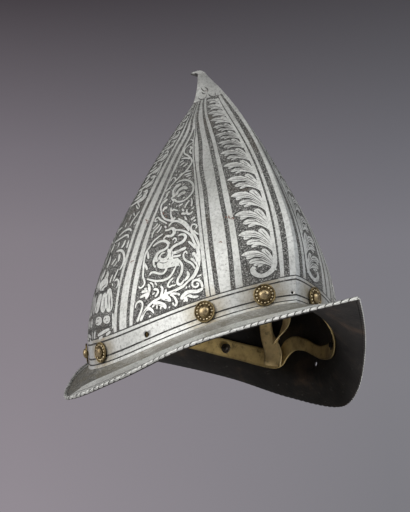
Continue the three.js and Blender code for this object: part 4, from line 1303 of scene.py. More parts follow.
# %% Draw the scroll panel
SCROLL = [  # points of the picture, widths in millimetres
    # the stem and the great wheel
    ([(140.5, 321), (143.5, 314), (146, 309.5), (149.5, 305), (153.5, 301.5), (158, 299), (161.5, 296.8),
      (166, 294), (170, 292.5), (175, 290.5), (180, 288), (185, 285), (189, 281), (193, 277), (196, 272),
      (198, 266), (199, 259), (198.3, 252), (196.5, 246), (194, 241), (191.5, 236.5), (188, 233),
      (184, 231), (179, 230), (175.5, 230)], [2.6, 2.2, 2, 1.9, 1.9, 2, 2.2, 2.4, 2.8, 2.9, 2.6, 2.2, 1.7,
      1.5, 1.3]),
    ([(163, 234), (158, 237.5), (153, 242), (149.5, 247.5), (147, 251), (145, 256), (144, 262),
      (143.5, 270), (143, 277), (144.5, 281), (144.5, 284), (142.5, 287), (140, 288), (138.5, 286.5)], [1.2,
      1.7, 1.9, 1.8, 1.6, 1.1]),
    ([(147, 279), (152, 280.3), (158, 281), (164, 280), (169, 277.5), (172.5, 273), (175, 268), (177, 263)],
      [1.2, 1.7, 1.9, 1.7, 1.4]),
    ([(137, 322), (139, 317), (141.6, 309.5), (142.6, 304), (141, 301.5), (138, 302), (136, 304.5),
      (135.5, 308)], [2.4, 2, 1.8, 1.6, 1.6, 1.6, 1.4, 1.3]),
    # leaves of the wheel's right side
    ([(198.5, 250), (197, 243), (194.5, 236.5), (191.7, 231), (191, 227), (192.5, 224.5), (195.5, 224.5),
      (197, 226.5), (195.6, 228.5)], [3.6, 3.8, 3, 2, 1.5, 1.3, 1.3, 1.3, 1.2]),
    ([(197.5, 263), (196, 257), (192.6, 252.6)], [2.6, 3.6, 2.6]),
    ([(197.5, 265), (194, 260.5), (190.6, 258.4)], [1.4, 2, 1.5]),
    ([(195, 268.5), (193, 265), (190, 262.5), (186, 260.5), (183.6, 257), (184, 253), (186, 251.3),
      (187.2, 254)], [1.2, 1.4, 1.5, 1.6, 1.6, 1.5, 1.4, 1.2]),
    ([(196, 248), (192, 244.5), (188.4, 241.2)], [2.4, 1.8, 1.5]),
    ([(187, 271), (188.5, 275), (186.5, 278.5), (184.3, 280.5)], [1.2, 2.4, 2.2, 1]),
    ([(147.5, 251), (148.2, 255), (148.5, 259)], [1, 2, 1.6]),
    ([(144.5, 263), (146, 266.5), (147.3, 270)], [1, 2, 1.6]),
    # the beast
    ([(181, 263), (175, 262.5), (169, 263.5), (162, 264.5), (157.5, 263)], [4, 6, 6.5, 6.5, 5]),
    ([(157, 262), (156.4, 256), (159, 252.3), (164, 250.2), (167.5, 247), (168.5, 244), (166, 241.6),
      (161, 241.2), (156.5, 243.5), (153, 246.5)], [5, 3.2, 2.8, 2.4, 2.2, 2.1, 2, 2, 2, 1.4]),
    ([(168, 249), (169, 253), (166.8, 258), (162.5, 259.8), (159.8, 257.5), (161.3, 254), (165, 252.6)],
      [2.4, 2.2, 2.4, 2.4, 1.8, 1.5, 1.2]),
    ([(171, 262), (171, 255), (171.3, 250), (174, 246.5), (179, 244), (183, 241.5), (185.5, 238),
      (184.7, 235), (181, 234.4), (178, 236)], [4.2, 3.6, 3, 2.8, 2.8, 2.8, 2.5, 2.1, 1.7, 1.2]),
    ([(172.5, 240.3), (174.5, 238), (176.5, 240), (174.3, 242.8)], [1.2, 1.3, 1.3, 1.1]),
    ([(172, 253.5), (178, 251.5), (182, 249.5), (186.3, 247.5)], [2.6, 2.6, 2.6, 2.2]),
    ([(173, 256.6), (178, 256), (181, 255)], [1.6, 1.7, 1.4]),
    ([(172, 260), (176, 259.2), (178.5, 258.4)], [1.4, 1.4, 1.2]),
    ([(178, 262), (181.2, 265), (182, 270), (180.5, 275), (178, 279), (177.5, 283), (180, 284.5),
      (183.3, 281.5), (184, 279.6)], [4.2, 3, 2.3, 2, 1.9, 2, 1.9, 1.6, 1.2]),
    ([(166, 265), (166, 270), (163, 273.4), (158, 273.4), (154, 272.3), (151, 273), (149.6, 275.4)], [3, 2,
      1.8, 1.7, 1.7, 1.8, 1.8]),
    ([(165, 230.6), (169, 229.8), (172, 228.3), (174.3, 230.2), (174, 233.4), (171, 236), (166, 236.2),
      (163.3, 239.4)], [1.4, 1.8, 2.2, 2.8, 3, 2.4, 1.8, 1.2]),
    ([(163.5, 239.8), (167, 241.2), (170, 243.4)], [1.1, 1.3, 1.1]),
    ([(155, 257), (153.8, 260), (153.8, 264), (155.5, 267.5)], [1.6, 1.8, 1.8, 1.5]),
    # leaves above the wheel
    ([(152, 238), (152.6, 234), (155, 230), (158, 227), (160, 224.3)], [1.3, 1.6, 1.8, 1.6, 1.1]),
    ([(153, 229), (156, 226), (157.8, 223.4)], [1.2, 1.6, 1.1]),
    ([(157, 233), (160, 229.3), (161.6, 226)], [1.2, 1.5, 1]), ([(165, 226), (166.2, 228.2)], [1.5, 1.5]),
    ([(168.8, 226.5), (171.5, 222.8), (174.5, 221.2), (179, 221.6), (184, 224.5), (187.6, 228.3),
      (189, 231)], [1.2, 1.6, 1.8, 1.8, 1.8, 1.6, 1.3]),
    ([(178, 218.5), (182, 220.5), (186, 223), (189, 227), (190, 229.5)], [1.2, 1.4, 1.4, 1.4, 1.1]),
    # the upper stem
    ([(174, 221), (169, 220.3), (165, 219), (162.5, 216), (161.3, 212), (160.9, 208), (161.8, 204.5),
      (164, 201.5), (167, 198.8)], [2, 1.7, 1.5, 1.4, 1.4, 1.5, 1.7, 1.8, 1.2]),
    ([(173.2, 220), (171.2, 216), (170.8, 212), (171.2, 207.6)], [2.4, 1.4, 1.3, 1.1]),
    ([(173.5, 219.5), (175.3, 217.4)], [2.4, 1.8]),
    ([(170, 210.8), (174, 209.8), (178, 210.6)], [1.2, 1.3, 1]), ([(172.5, 211.5), (174, 208.6)], [1, 1]),
    ([(177.7, 213.5), (178.6, 213.4)], [1.4, 1.4]),
    ([(167, 223.6), (163.5, 221.6), (160, 219.6), (157.6, 217.4), (155.6, 219), (155, 221.6),
      (157.4, 220.6)], [1.1, 1.3, 1.4, 1.4, 1.3, 1.2, 1]),
    ([(163, 211.6), (164.3, 208.4), (167.4, 207.6)], [1.2, 2.8, 2.4]),
    ([(169.3, 203.5), (169.9, 205)], [1.2, 1.2]), ([(177.2, 205), (176.6, 207.2)], [1, 1]),
    # the small wheel and its flower
    ([(176.5, 183), (179, 181.4), (183, 180.2), (187, 180.1), (190.5, 181.5), (193, 184.5), (193.5, 188),
      (192.5, 192), (190, 195.5), (187, 198.5), (183.5, 200.7), (179.5, 201.8), (176.5, 201.4),
      (174.6, 199.8), (171.8, 199.6)], [1.3, 1.6, 1.7, 1.7, 1.8, 1.8, 1.6, 1.8]),
    ([(174.4, 197), (173.9, 191), (176.4, 187), (181.2, 184)], [2.4, 3.2, 3.8, 2.6]),
    ([(176, 195.5), (179, 190.5), (183.6, 187.6), (187.6, 188.8)], [2.4, 3, 3.2, 1.8]),
    ([(177.5, 197), (181, 193.8), (185.8, 192.2)], [2.2, 3, 2.2]),
    ([(182.3, 185.4), (184.6, 183.4)], [1.2, 1.1]), ([(183.2, 198.4), (184.6, 196.9)], [1.5, 1.4]),
    ([(171.4, 199.6), (172.4, 197), (174.6, 196.4)], [1.4, 1.8, 1.8]),
    ([(172.2, 203.6), (173.8, 201.4), (172.4, 199.8)], [1, 1.3, 1.2]),
    ([(184.8, 208), (186, 205), (187.6, 202.5), (189.6, 200.5)], [1.2, 1.6, 1.5, 1.1]),
    ([(191.4, 206.4), (192, 202.5), (191.4, 198.2)], [1.3, 1.5, 1]),
    ([(178.6, 206.2), (181, 204.6), (183, 203.6)], [1.5, 1.7, 1.1]),
    ([(182, 208.8), (184, 211.2)], [1.6, 1.5]), ([(181.4, 213.4), (186, 213.8)], [2.2, 1.8]),
    ([(187.2, 209.2), (186.6, 212), (188.2, 214), (191, 213.2), (192.6, 211.2)], [1.1, 1.6, 1.9, 1.8, 1.1]),
    ([(191.8, 209), (194, 207.2)], [1.7, 1.6]), ([(184.8, 216.6), (186.6, 220)], [1.4, 1.2]),
    ([(191.2, 220), (193, 218.2), (195.2, 217)], [1.6, 2, 1.4]),
    ([(193.6, 221.3), (196, 219.6)], [1.8, 1.5]),
    # leaves left of the small wheel
    ([(163.3, 203.5), (166, 200.6), (167.8, 199)], [1.2, 1.7, 1.2]),
    ([(163.4, 200), (166.2, 197), (168, 194.4)], [1, 1.4, 1]),
    ([(166, 195.5), (168.4, 192.6), (170.2, 191.2)], [1.2, 1.8, 1.3]),
    ([(165.6, 191.6), (168.4, 189.2), (171.4, 187.3)], [1.2, 1.8, 1.3]),
    # the tip
    ([(169.5, 187.6), (172, 184.6), (174.6, 182), (178, 178.5), (182, 174.5), (185, 172), (188, 168.5),
      (190.5, 165), (192, 161.5), (191, 158.6), (188, 155.5), (184.7, 153.6), (184.1, 151.5),
      (185.5, 148.5), (188, 146), (191, 143.5), (193, 142), (192.6, 140), (190.4, 139.7)], [1.1, 1.4, 1.8,
      1.8, 1.4, 1.3, 1.3, 1.1, 1]),
    ([(170.8, 181.6), (172, 179), (174, 177.7), (175.7, 178.5), (175.4, 180.8)], [1.1, 1.3, 1.3, 1.3, 1]),
    ([(181.4, 158.8), (183.6, 158.2), (187, 158.1), (190, 158.8)], [1.3, 1.6, 1.5, 1.4]),
    ([(182, 157), (183.4, 155.6)], [1.1, 1]),
    ([(179.4, 163.3), (181.5, 161.6), (183.6, 160.5)], [1, 1.4, 1.1]),
    ([(180, 166), (182, 164.2), (184.5, 162.4)], [1.2, 1.6, 1.2]),
    ([(183, 167), (185.4, 165.2), (187.6, 163.4)], [1.2, 1.8, 1.3]),
    ([(190, 146.4), (191.6, 148), (190, 150.6), (190.5, 152.5), (192, 153.6)], [1.2, 1.8, 1.6, 1.4, 1.1]),
    ([(185, 172.3), (188, 171.2), (191.2, 170.4)], [1, 1.4, 1]),
    ([(184.3, 175), (188, 174), (191.6, 172.7)], [1.1, 1.6, 1.1]),
    ([(186, 176.8), (189, 175.6), (191.4, 174.8)], [1.1, 1.6, 1.2]),
    ([(188.6, 179), (190.4, 177.4)], [1.2, 1.4]),
    ([(179.4, 175.3), (181.5, 174), (183, 173.4)], [1.4, 1.8, 1.1]),
    ([(178, 172.3), (180, 171)], [1.2, 1.1]), ([(176, 171), (176.2, 172)], [1.3, 1.3]),
    ([(176.2, 174.6), (176.8, 175.4)], [1.3, 1.3]),
    # leaves under the great wheel
    ([(148, 284), (149.3, 287), (148.5, 292), (146.6, 297), (145.8, 299.4)], [1.3, 2.4, 3.2, 2.8, 1.1]),
    ([(147.5, 291), (144, 291.3), (141.4, 292.6)], [2, 2.2, 1.4]),
    ([(147, 294), (143, 296), (140, 297.7)], [2, 2.3, 1.4]), ([(147, 288.6), (144.4, 288.8)], [1.6, 1.4]),
    ([(150, 282.5), (152.5, 284), (153.5, 287.5)], [1, 1.2, 1]),
    ([(153.5, 289.4), (156.5, 289.4), (158, 291.5), (157, 294.5), (155, 297)], [1.4, 2, 2.2, 1.8, 1]),
    ([(152.5, 294.6), (155, 292.3)], [1.3, 1.2]), ([(154.8, 282.4), (157, 285.2)], [1.2, 1.2]),
    ([(160.5, 286), (162.4, 288.2), (162, 292), (161.2, 296), (162, 298.5)], [1.3, 1.8, 2.1, 2.4, 2.6]),
    ([(166, 289), (165.6, 292), (163.5, 295)], [1.6, 1.7, 1.3]),
    ([(161.5, 298), (165, 297.4), (169, 299.4), (170.5, 301.5)], [3.4, 4.2, 3.2, 1.6]),
    ([(145.6, 310.5), (150, 308.7), (152.6, 311), (154, 313.3)], [1.4, 2.2, 1.8, 1.1]),
    ([(153, 303.5), (158, 303), (162.3, 304.6), (165.1, 306.2), (165.4, 309)], [1.4, 2.6, 3.2, 2.8, 2]),
    ([(157, 305), (157, 309)], [1.3, 1.3]), ([(160.8, 306), (160.8, 309.5)], [1.3, 1.3]),
    ([(154.6, 305), (152, 307.2)], [1.4, 1.4]), ([(149, 317), (151, 315.6)], [1.5, 1.3]),
    ([(170, 294.6), (173, 296), (175.5, 299), (176.8, 302.5), (176, 305), (174.4, 306)], [1.2, 1.6, 1.9,
      1.9, 1.4]), ([(172.6, 302.5), (174, 305.3)], [1.3, 1.4]),
    ([(169.6, 306.3), (169.2, 308.2)], [1.2, 1.1]),
    ([(171, 294), (176, 293.6), (180, 294.8)], [1.1, 1.6, 1.6]),
    ([(180.5, 299), (184, 296), (187.4, 293.3), (192, 291.6), (197, 291.4), (201, 289.6), (203, 288)], [2.2,
      4, 4.2, 2.8, 2.4, 2.2, 1.2]), ([(184.6, 296.5), (186.4, 299.6), (187.2, 302)], [2.4, 2.2, 1.3]),
    ([(183.4, 301.8), (185.4, 299.6)], [1.6, 1.8]),
    ([(187, 294.4), (190.4, 296), (194.4, 297), (198.6, 296)], [2.4, 2.1, 1.9, 1.3]),
    ([(202.6, 287.6), (202, 284.6), (200, 281), (196.5, 279.8), (193, 281.2), (192.2, 284.4), (194.4, 287),
      (197.8, 286.2), (198.6, 283.6), (196.2, 283.2)], [2, 1.9, 1.8, 1.7, 1.6, 1.4, 1.3, 1.2]),
    ([(186, 288.6), (187.2, 286.2)], [1.2, 1.1]), ([(189, 287.6), (189.6, 285.4)], [1.2, 1.1]),
    ([(173.5, 277.5), (170.5, 280.5), (168, 284), (168, 286.4), (170, 287), (172, 285.4), (174.5, 285.5),
      (176, 284)], [1.2, 1.6, 1.7, 1.6, 1.3, 1.2, 1.2, 1]), ([(172, 282.6), (173.6, 280.6)], [1, 1]),
    ([(197, 276.4), (199.5, 275.6), (201.6, 274.6)], [1, 1.4, 1]), ([(198.2, 278.7), (200.4, 278)], [1, 1]),
    ([(193.6, 230), (195.6, 232.4), (198.6, 234.4)], [1, 1.3, 1]),
]
scroll = drawn(SCROLL)
print("scroll strokes:", len(scroll))


# %% [markdown]
# ### The side panel, the veins and the border under the stalk
# The panel over each ear has a robed figure on a plinth, cut down to its folds, with scrolls above it. Its
# other half is the mirror of this one. Then the graver goes over the leaves once more and cuts fine dark
# veins.

# %% Draw the side panel
SIDE = [
    # the robe's folds, the cloak over them and the plinth
    ([(101.2, 293.6), (99.4, 300), (97.6, 307), (96.4, 313.5)], [4.4, 5.6, 6, 5.4]),
    ([(104.8, 293), (104, 300), (103.5, 306), (103.2, 312.6)], [4.6, 6.8, 7.4, 6.4]),
    ([(109, 288.6), (109.1, 296), (109.3, 304), (109.6, 312)], [4.8, 7.4, 8, 7.4]),
    ([(99.8, 290.4), (101.8, 286.6), (104.8, 284.2), (107.4, 285)], [6, 9.6, 9.6, 7]),
    ([(98.4, 325.4), (98.8, 321), (99.4, 316.8)], [8.6, 9, 8.4]),
    ([(106, 323.6), (106.7, 319.4), (107.3, 315.4)], [8, 8.6, 7.6]),
    ([(112.8, 328.6), (113, 320), (112.8, 313.4)], [1.6, 2, 1.6]),
    ([(94.8, 339), (94.9, 334), (95.4, 331.4)], [2, 2.2, 1.6]),
    ([(98, 335.6), (101.6, 333.2), (105.4, 331), (109.6, 328.9)], [1.8, 2.4, 2.4, 1.8]),
    ([(98.8, 339.2), (102.6, 336.6)], [1.8, 2]), ([(106, 335), (110.6, 331.6)], [2, 2.2]),
    ([(104, 280.4), (106.6, 276), (108.2, 271)], [1.5, 2.4, 1.6]),
    ([(100.8, 281), (103.6, 275), (105.6, 269.6)], [1.5, 2.4, 1.5]),
    ([(107, 268), (109.4, 262), (110.8, 256.4)], [1.5, 2.6, 1.5]),
    ([(103.6, 266), (106, 259), (107.8, 253)], [1.5, 2.4, 1.5]),
    ([(111, 252.6), (113.6, 247), (114.8, 243.8)], [1.4, 2.4, 1.4]),
    ([(108.4, 250), (111.4, 243), (113.6, 237.6)], [1.5, 2.6, 1.5]),
    ([(114.6, 236), (118.4, 231.4), (122.6, 227)], [1.5, 2.4, 1.5]),
    ([(117.6, 227.6), (121, 222.6), (123.6, 218)], [1.5, 2.4, 1.5]),
    ([(119, 236.5), (123, 232.4), (127, 229.7), (130, 229.2), (131.4, 231)], [1.3, 1.8, 2, 1.8, 1.2]),
    ([(113.5, 243.5), (118, 240.3), (122, 237.6), (126, 235.2), (128.3, 235.6), (128.2, 238)], [1.3, 1.7,
      1.8, 1.6, 1.3]), ([(119.5, 242), (118.5, 246), (117.5, 248)], [1.2, 1.6, 1]),
    ([(125.6, 240), (123.6, 245), (121.4, 248)], [1.4, 2.4, 1.4]),
    ([(129, 240), (127.8, 244), (126.8, 248)], [1.2, 2, 1.4]),
    ([(116.6, 251.6), (120, 250.3), (123, 252), (124.2, 256), (123.8, 261), (122, 266), (119.5, 270)], [1.4,
      2, 2.2, 2.2, 2, 1.6]), ([(119.6, 254), (119.2, 258), (118, 262)], [1.8, 2.6, 1.6]),
    ([(116, 258.6), (113.6, 262), (111.6, 265)], [1.3, 1.8, 1.2]),
    ([(117, 261), (115.6, 264.2), (113.4, 266.6)], [1.1, 1.5, 1.1]),
    ([(118.4, 269), (116.6, 273), (114.8, 277), (113.3, 281)], [1.2, 1.6, 1.6, 1.2]),
    ([(114.4, 281.4), (116.4, 279.5), (118.4, 281), (118, 285), (116.4, 288.2)], [1.2, 1.5, 1.5, 1.5, 1.2]),
    ([(112.8, 274.5), (111, 278.6), (109.8, 283)], [1.1, 1.5, 1.2]),
    ([(109, 272.6), (107.6, 277), (106.6, 281)], [1.1, 1.5, 1.2]),
    ([(112.5, 283.5), (112.8, 286)], [1.3, 1.3]),
    ([(139.8, 211), (136.2, 216), (132.6, 221), (130, 226)], [1.2, 1.6, 1.6, 1.2]),
    ([(137, 201), (138.4, 204), (139.8, 207)], [1, 1.3, 1]),
    ([(136.4, 205.6), (137.8, 208.4), (139.4, 208)], [1, 1.2, 1]),
    ([(136.6, 221.6), (135.2, 223.8), (134, 225)], [1, 1.3, 1]), ([(127, 222.6), (125.2, 227)], [1.2, 1.4]),
    ([(133.8, 212.8), (134.6, 216)], [1.2, 1.1]), ([(131.5, 214.6), (129.6, 219.6)], [1, 1.2]),
    ([(146, 191), (143.5, 196), (141.5, 200)], [1, 1.4, 1]),
    ([(148.8, 186), (150.8, 182.5), (152.6, 183.2)], [1, 1.4, 1.2]),
    ([(151.5, 179), (154, 176.4), (156.5, 176.6)], [1, 1.4, 1.2]),
    ([(157, 175), (158.6, 172), (160.4, 170)], [1.2, 1.4, 1]),
    ([(160, 168), (161, 164.5), (163, 161.8), (164.6, 160.4)], [1.2, 1.4, 1.2, 1]),
    ([(163, 157), (165.6, 154.6), (167.6, 154.8)], [1, 1.4, 1.2]),
    ([(166, 151.6), (168.6, 149.6)], [1.2, 1.2]), ([(172, 146), (174.5, 142), (177, 139)], [1.2, 1.4, 1]),
]
CANDELABRA = [  # from the middle of the side panel to its border, up in tiers
    ([(0.04, 0), (0.4, 0.2), (0.78, 0.55), (0.72, 0.86), (0.5, 0.8)], [1.3, 2.2, 2, 1.5, 1.1]),
    ([(0.1, 0.36), (0.34, 0.48), (0.5, 0.62)], [1.2, 2.2, 1.2]),
    ([(0.5, 0.1), (0.72, 0.2), (0.9, 0.42)], [1.1, 1.9, 1]),
    ([(0.16, 0.62), (0.3, 0.82), (0.26, 1.04)], [1.2, 2, 1.1]), ([(0, 0.5), (0, 0.94)], [2.6, 1.4]),
]
CANDELABRA_TIER = 11  # the height of a tier for which its widths are given, in millimetres
TIERS = [120, 132, 143.5, 154, 163.5, 172.5, 180.5, 188, 194.5, 200.5, 205.5]
side = drawn(SIDE)
for foot, top in zip(TIERS, TIERS[1:]):
    for points, widths in CANDELABRA:
        across, up = np.array(points).T
        heights = foot + up * (top - foot)
        shares = 0.5 - across * (0.5 - STRIPS["side"](heights))
        side.append(stroke(np.stack([shares, heights], 1), np.array(widths) * (top - foot) / CANDELABRA_TIER))
print("side strokes:", len(side))

# %% Cut the veins
LEAF_VEINS = [
    [(0.93, -0.19), (0.8, -0.2), (0.62, -0.26), (0.45, -0.4), (0.28, -0.66), (0.15, -0.96)],
    [(0.74, -0.12), (0.6, -0.18), (0.44, -0.3), (0.31, -0.5)],
    [(0.47, -0.1), (0.38, -0.24), (0.26, -0.52), (0.16, -0.8)],
    [(0.8, -0.33), (0.66, -0.36), (0.48, -0.45), (0.32, -0.68), (0.2, -0.9)],
    [(0.74, -0.62), (0.6, -0.6), (0.44, -0.65), (0.28, -0.86), (0.18, -1.02)],
    [(0.62, -0.5), (0.5, -0.54), (0.38, -0.68)], [(0.6, -0.8), (0.46, -0.82), (0.3, -0.98)],
    [(0.33, -0.12), (0.29, -0.26), (0.22, -0.46)],
]
veins = [stroke(on_leaf_strip(points, top, top - below), [0.34, 0.5, 0.42, 0.3])
         for below, top in LEAVES for points in LEAF_VEINS[:1 if top > SMALL_ABOVE else None]]
BEAST_LINES = [  # eye, folds of the neck, scales of the breast, quills of the wing, folds of the flower
    [(171.5, 257), (172, 251), (174.8, 247.8), (179.4, 245.2), (183.4, 242.4)],
    [(158, 260.5), (157.8, 256.6), (160, 253.4), (164, 251.6), (168, 248.5)],
    [(159.2, 262), (163.5, 263.2), (168, 261.6)], [(154.6, 262.3), (157, 262)],
    [(154.6, 265), (157.2, 263.8)], [(156.3, 267.3), (158, 265.4)], [(174.2, 266), (175.2, 268)],
    [(176, 252.9), (182, 250.7)], [(171.4, 264.4), (172.6, 262)],
    [(179, 262.8), (180.6, 266.5), (180.8, 270)], [(174.6, 194), (175, 190), (178, 187)],
    [(178, 193), (180.6, 190)], [(180, 195), (183, 193.4)], [(197.8, 246), (195, 240), (193, 235.4)],
    [(196, 262), (194.6, 258), (193, 255)], [(198.6, 267), (197.4, 262)],
    [(184.5, 297), (188, 294.4), (193, 293)], [(148.2, 293), (148, 289)], [(157, 303.8), (162, 305.4)],
    [(164.4, 298.8), (168, 300.4)], [(141.8, 316), (144.4, 312), (147, 309)],
    [(184, 287), (189, 282.6), (193, 278.6)], [(157, 292.4), (156.4, 290.4)],
    [(171.8, 292.6), (176, 290.8)],
]
UNDER_STALK = [
    [(201, 87.6), (202.6, 90), (205, 91.2), (207, 90)],
    [(204.4, 87), (206.6, 88.2), (208, 90.4), (207.4, 92.6)], [(201.6, 92), (204, 94), (206, 93.4)],
    [(208.4, 94), (211, 96.4), (214, 96)], [(215.2, 92.6), (215.4, 96)],
    [(213.4, 97), (215.4, 98.7), (217.4, 97.4)], [(219, 94.8), (218, 97), (220, 98.8)],
    [(198.4, 97.6), (200.2, 99.4), (203, 99.2), (206, 97.2), (206.6, 95)],
]
FOLDS = [
    [(97.2, 305), (96.4, 311)], [(104.6, 297), (104.2, 304), (104.4, 309)],
    [(108, 293), (107.9, 301), (108.3, 308)], [(110.6, 296), (110.8, 303), (110.9, 309)],
    [(101, 290), (103.4, 286.6), (105.8, 284.6)], [(99, 293.6), (103.4, 291.9), (107.6, 289.4)],
    [(103.4, 289.6), (105.8, 287.6), (108.2, 286.6)], [(94.6, 328.4), (103.6, 327.4), (113, 325.9)],
    [(97, 319.4), (99.6, 318.6)], [(96.2, 323.6), (98.8, 322.8)], [(104.4, 319.6), (106.4, 318.4)],
    [(106, 322.6), (108, 321)],
]
DRAWN_VEINS = ((BEAST_LINES, [0.5, 0.7, 0.45]), (UNDER_STALK, [0.6, 0.9, 0.6]), (FOLDS, [0.7, 1, 0.7]))
veins += drawn([(points, widths) for lines, widths in DRAWN_VEINS for points in lines])
VEIN_STEP = 1.4
VEIN_LIFT = 0.13
VEIN_SIDES = np.array([-1, 0, 1])


def lay_veins(name, strokes, surface, material):
    """Fine dark lines just above the figures: a sheet two faces wide for each."""
    rows, offsets, lifts = [], [], []
    for lengths, points, widths in strokes:
        count = max(5, round(lengths[-1] / VEIN_STEP))
        along = smooth_through(lengths, np.column_stack([points, widths]))
        sampled = along(np.linspace(0, lengths[-1], count))
        half = sampled[:, 2] / 2 * np.sin(np.linspace(0.12, np.pi - 0.12, count)) ** 0.5
        rows.append(sampled[:, :2])
        offsets.append(half[:, None] * VEIN_SIDES)
        lifts.append(np.full((count, len(VEIN_SIDES)), VEIN_LIFT))
    bm = bmesh.new()
    normals = laid_sheets(bm, rows, surface, offsets, lifts)
    face_towards(bm, 0, normals[1])
    return finish(name, bm, material)


graver_black = begin_finish("graver_black", (0.05, 0.049, 0.045), 0.6, 0.3)[0]
QUARTERS = {"front_right": (False, False), "rear_right": (True, False), "front_left": (False, True),
            "rear_left": (True, True)}
ornaments = []
for name, rear_and_left in QUARTERS.items():
    bent = partial(on_quarter, *rear_and_left)
    for piece in (lay_strokes("etched_" + name, acanthus + scroll + side, bent, figure_steel),
                  lay_veins("veins_" + name, veins, bent, graver_black)):
        ornaments.append((piece, None, "etched_steel"))
        print(piece.name, "has", len(piece.data.polygons), "faces")
MARKS = [  # a scratch, a dent and specks of rust on the side that was photographed, with widths; the dent is a dark mark of painted shade
    ([(129.8, 263.4), (131.6, 261.6), (134.6, 260.4)], [0.5, 0.8, 0.5]),
    ([(218.6, 242.9), (220.4, 241.7), (222.6, 242.9)], [0.4, 0.9, 0.4]),
    ([(225, 216.8), (227.4, 217.6)], [1.2, 0.8]), ([(228.6, 215.4), (229.4, 218.8)], [0.8, 1.1]),
    ([(232, 217.2), (234.4, 219.4)], [1, 0.7]), ([(230.4, 218.8), (232, 219)], [0.7, 0.7]),
    ([(145.6, 219.6), (147.8, 221.4)], [1.1, 0.8]), ([(146.4, 222.6), (148.4, 223)], [0.8, 0.9]),
    ([(141.4, 214), (142.6, 212.4)], [0.8, 0.6]), ([(163, 212.4), (164.2, 214.6)], [1, 0.8]),
    ([(165.6, 215.8), (167, 217)], [0.7, 0.9]),
]
rust = begin_finish("rust_specks_and_dent_shade", (0.17, 0.08, 0.055), 0.75)[0]
marks = lay_veins("rust_specks_and_dent_shade", drawn(MARKS), partial(on_quarter, *QUARTERS["front_right"]), rust)
ornaments.append((marks, None, "etched_steel"))

# %% [markdown]
# ### The running scroll on the brim
# The brim has a worn strip of small scrolls: a wave whose every arch holds a curl and a few leaves, turned
# over at the next arch. It is paler than the bowl's, because hands have worn it.

# %% Draw the brim's scroll
worn_figures = bitten_steel("worn_figures", (0.21, 0.205, 0.185), (0.48, 0.48, 0.45), 2.2, 0.5, 0.3)
ARCHES = 44
CELL = [  # along one arch, across the strip from -1 to 1
    ([(0, 0), (0.22, 0.46), (0.5, 0.66), (0.78, 0.46), (1, 0)], [0.9, 1.1, 0.9]),
    ([(0.3, 0.55), (0.44, 0.25), (0.62, 0), (0.74, -0.3), (0.64, -0.58), (0.48, -0.5), (0.5, -0.28)], [0.8,
      1.1, 1.1, 1, 0.8]), ([(0.6, 0.02), (0.78, 0.14), (0.9, -0.04)], [0.8, 1.5, 0.7]),
    ([(0.72, -0.36), (0.86, -0.42), (0.96, -0.7)], [0.8, 1.3, 0.7]),
    ([(0.46, 0.22), (0.3, 0.06), (0.2, -0.2)], [0.8, 1.5, 0.7]),
    ([(0.52, -0.56), (0.36, -0.72), (0.2, -0.62)], [0.8, 1.3, 0.7]),
    ([(0.5, 0.7), (0.62, 0.84), (0.76, 0.86)], [0.8, 1.1, 0.6]),
]
STRIP_TURN, STRIP_MIDDLE, STRIP_FILL = 0.1, 0.45, 0.93
brim_places = np.linspace(0, 4, 2001)
brim_lengths = ways_along(brim_point(brim_places, STRIP_MIDDLE))


def on_brim(place, across):
    """A place, and its step on the brim's etched strip, from -1 at the bowl to 1 at the outer edge."""
    share = np.clip(across - STRIP_TURN, 0, 1) / (1 - STRIP_TURN) * BRIM_STRIP[1]
    on_turn = np.interp(across, [-1, STRIP_TURN], [BRIM_STRIP[0], FILLET])
    return place, np.where(across < STRIP_TURN, on_turn, on_brim_step(place, share))


brim_strokes = []
for arch_number in range(ARCHES):
    over = STRIP_FILL if arch_number % 2 else -STRIP_FILL
    for points, widths in CELL:
        along, across = np.array(points, float).T
        place = np.interp((arch_number + along) / ARCHES * brim_lengths[-1], brim_lengths, brim_places)
        brim_strokes.append(stroke(np.stack([place, over * across], 1), widths,
                                   lambda place, across: face_point(*on_brim(place, across))))
brim_scroll = lay_strokes("etched_brim", brim_strokes, lambda place, across: (
    face_point(*on_brim(place, across)), outward(*on_brim(place, across))), worn_figures)
ornaments.append((brim_scroll, None, "etched_steel"))
print(brim_scroll.name, "has", len(brim_strokes), "strokes")

# %% [markdown]
# ## Floor, light and background
# The helmet was lit by large soft lamps at its right side and its front. Its background is a mauve grey
# paper, which the world gives to camera and glossy rays alone, with painted light on it: paler low down and
# darker towards the top, and unlike at left and right. It stood high in the air then: the camera looked up
# from below the level of the floor here, and a lamp reached the leathers from below. So the floor is pale
# and plain from above, and open to the eye and to the lamps from beneath.

# %% Lay the floor
def make_floor_finish():
    material, shader = begin_finish("floor_paper", (0.6, 0.58, 0.6), 0.9)
    under = maths(material, "ADD", node(material, "NewGeometry").outputs["Backfacing"],
                  node(material, "LightPath").outputs["Is Shadow Ray"], clamp=True)
    mixed = node(material, "MixShader", in_0=under, in_1=shader.outputs[0],
                 in_2=node(material, "BsdfTransparent").outputs[0])
    link(material, mixed.outputs[0], material.node_tree.nodes["Material Output"], "Surface")
    return material


bm = bmesh.new()
bmesh.ops.create_grid(bm, x_segments=1, y_segments=1, size=3500)
floor = finish("floor", bm, make_floor_finish())

# %% Light the helmet
def soft_light(name, place, size, power, colour, target=(0, 0, 0.14)):
    data = bpy.data.lights.new(name, "AREA")
    data.shape, data.size, data.energy, data.color = "DISK", size, power, colour
    lamp = bpy.data.objects.new(name, data)
    bpy.context.scene.collection.objects.link(lamp)
    lamp.matrix_world = placed(place, Vector(target) - Vector(place), "-Z")


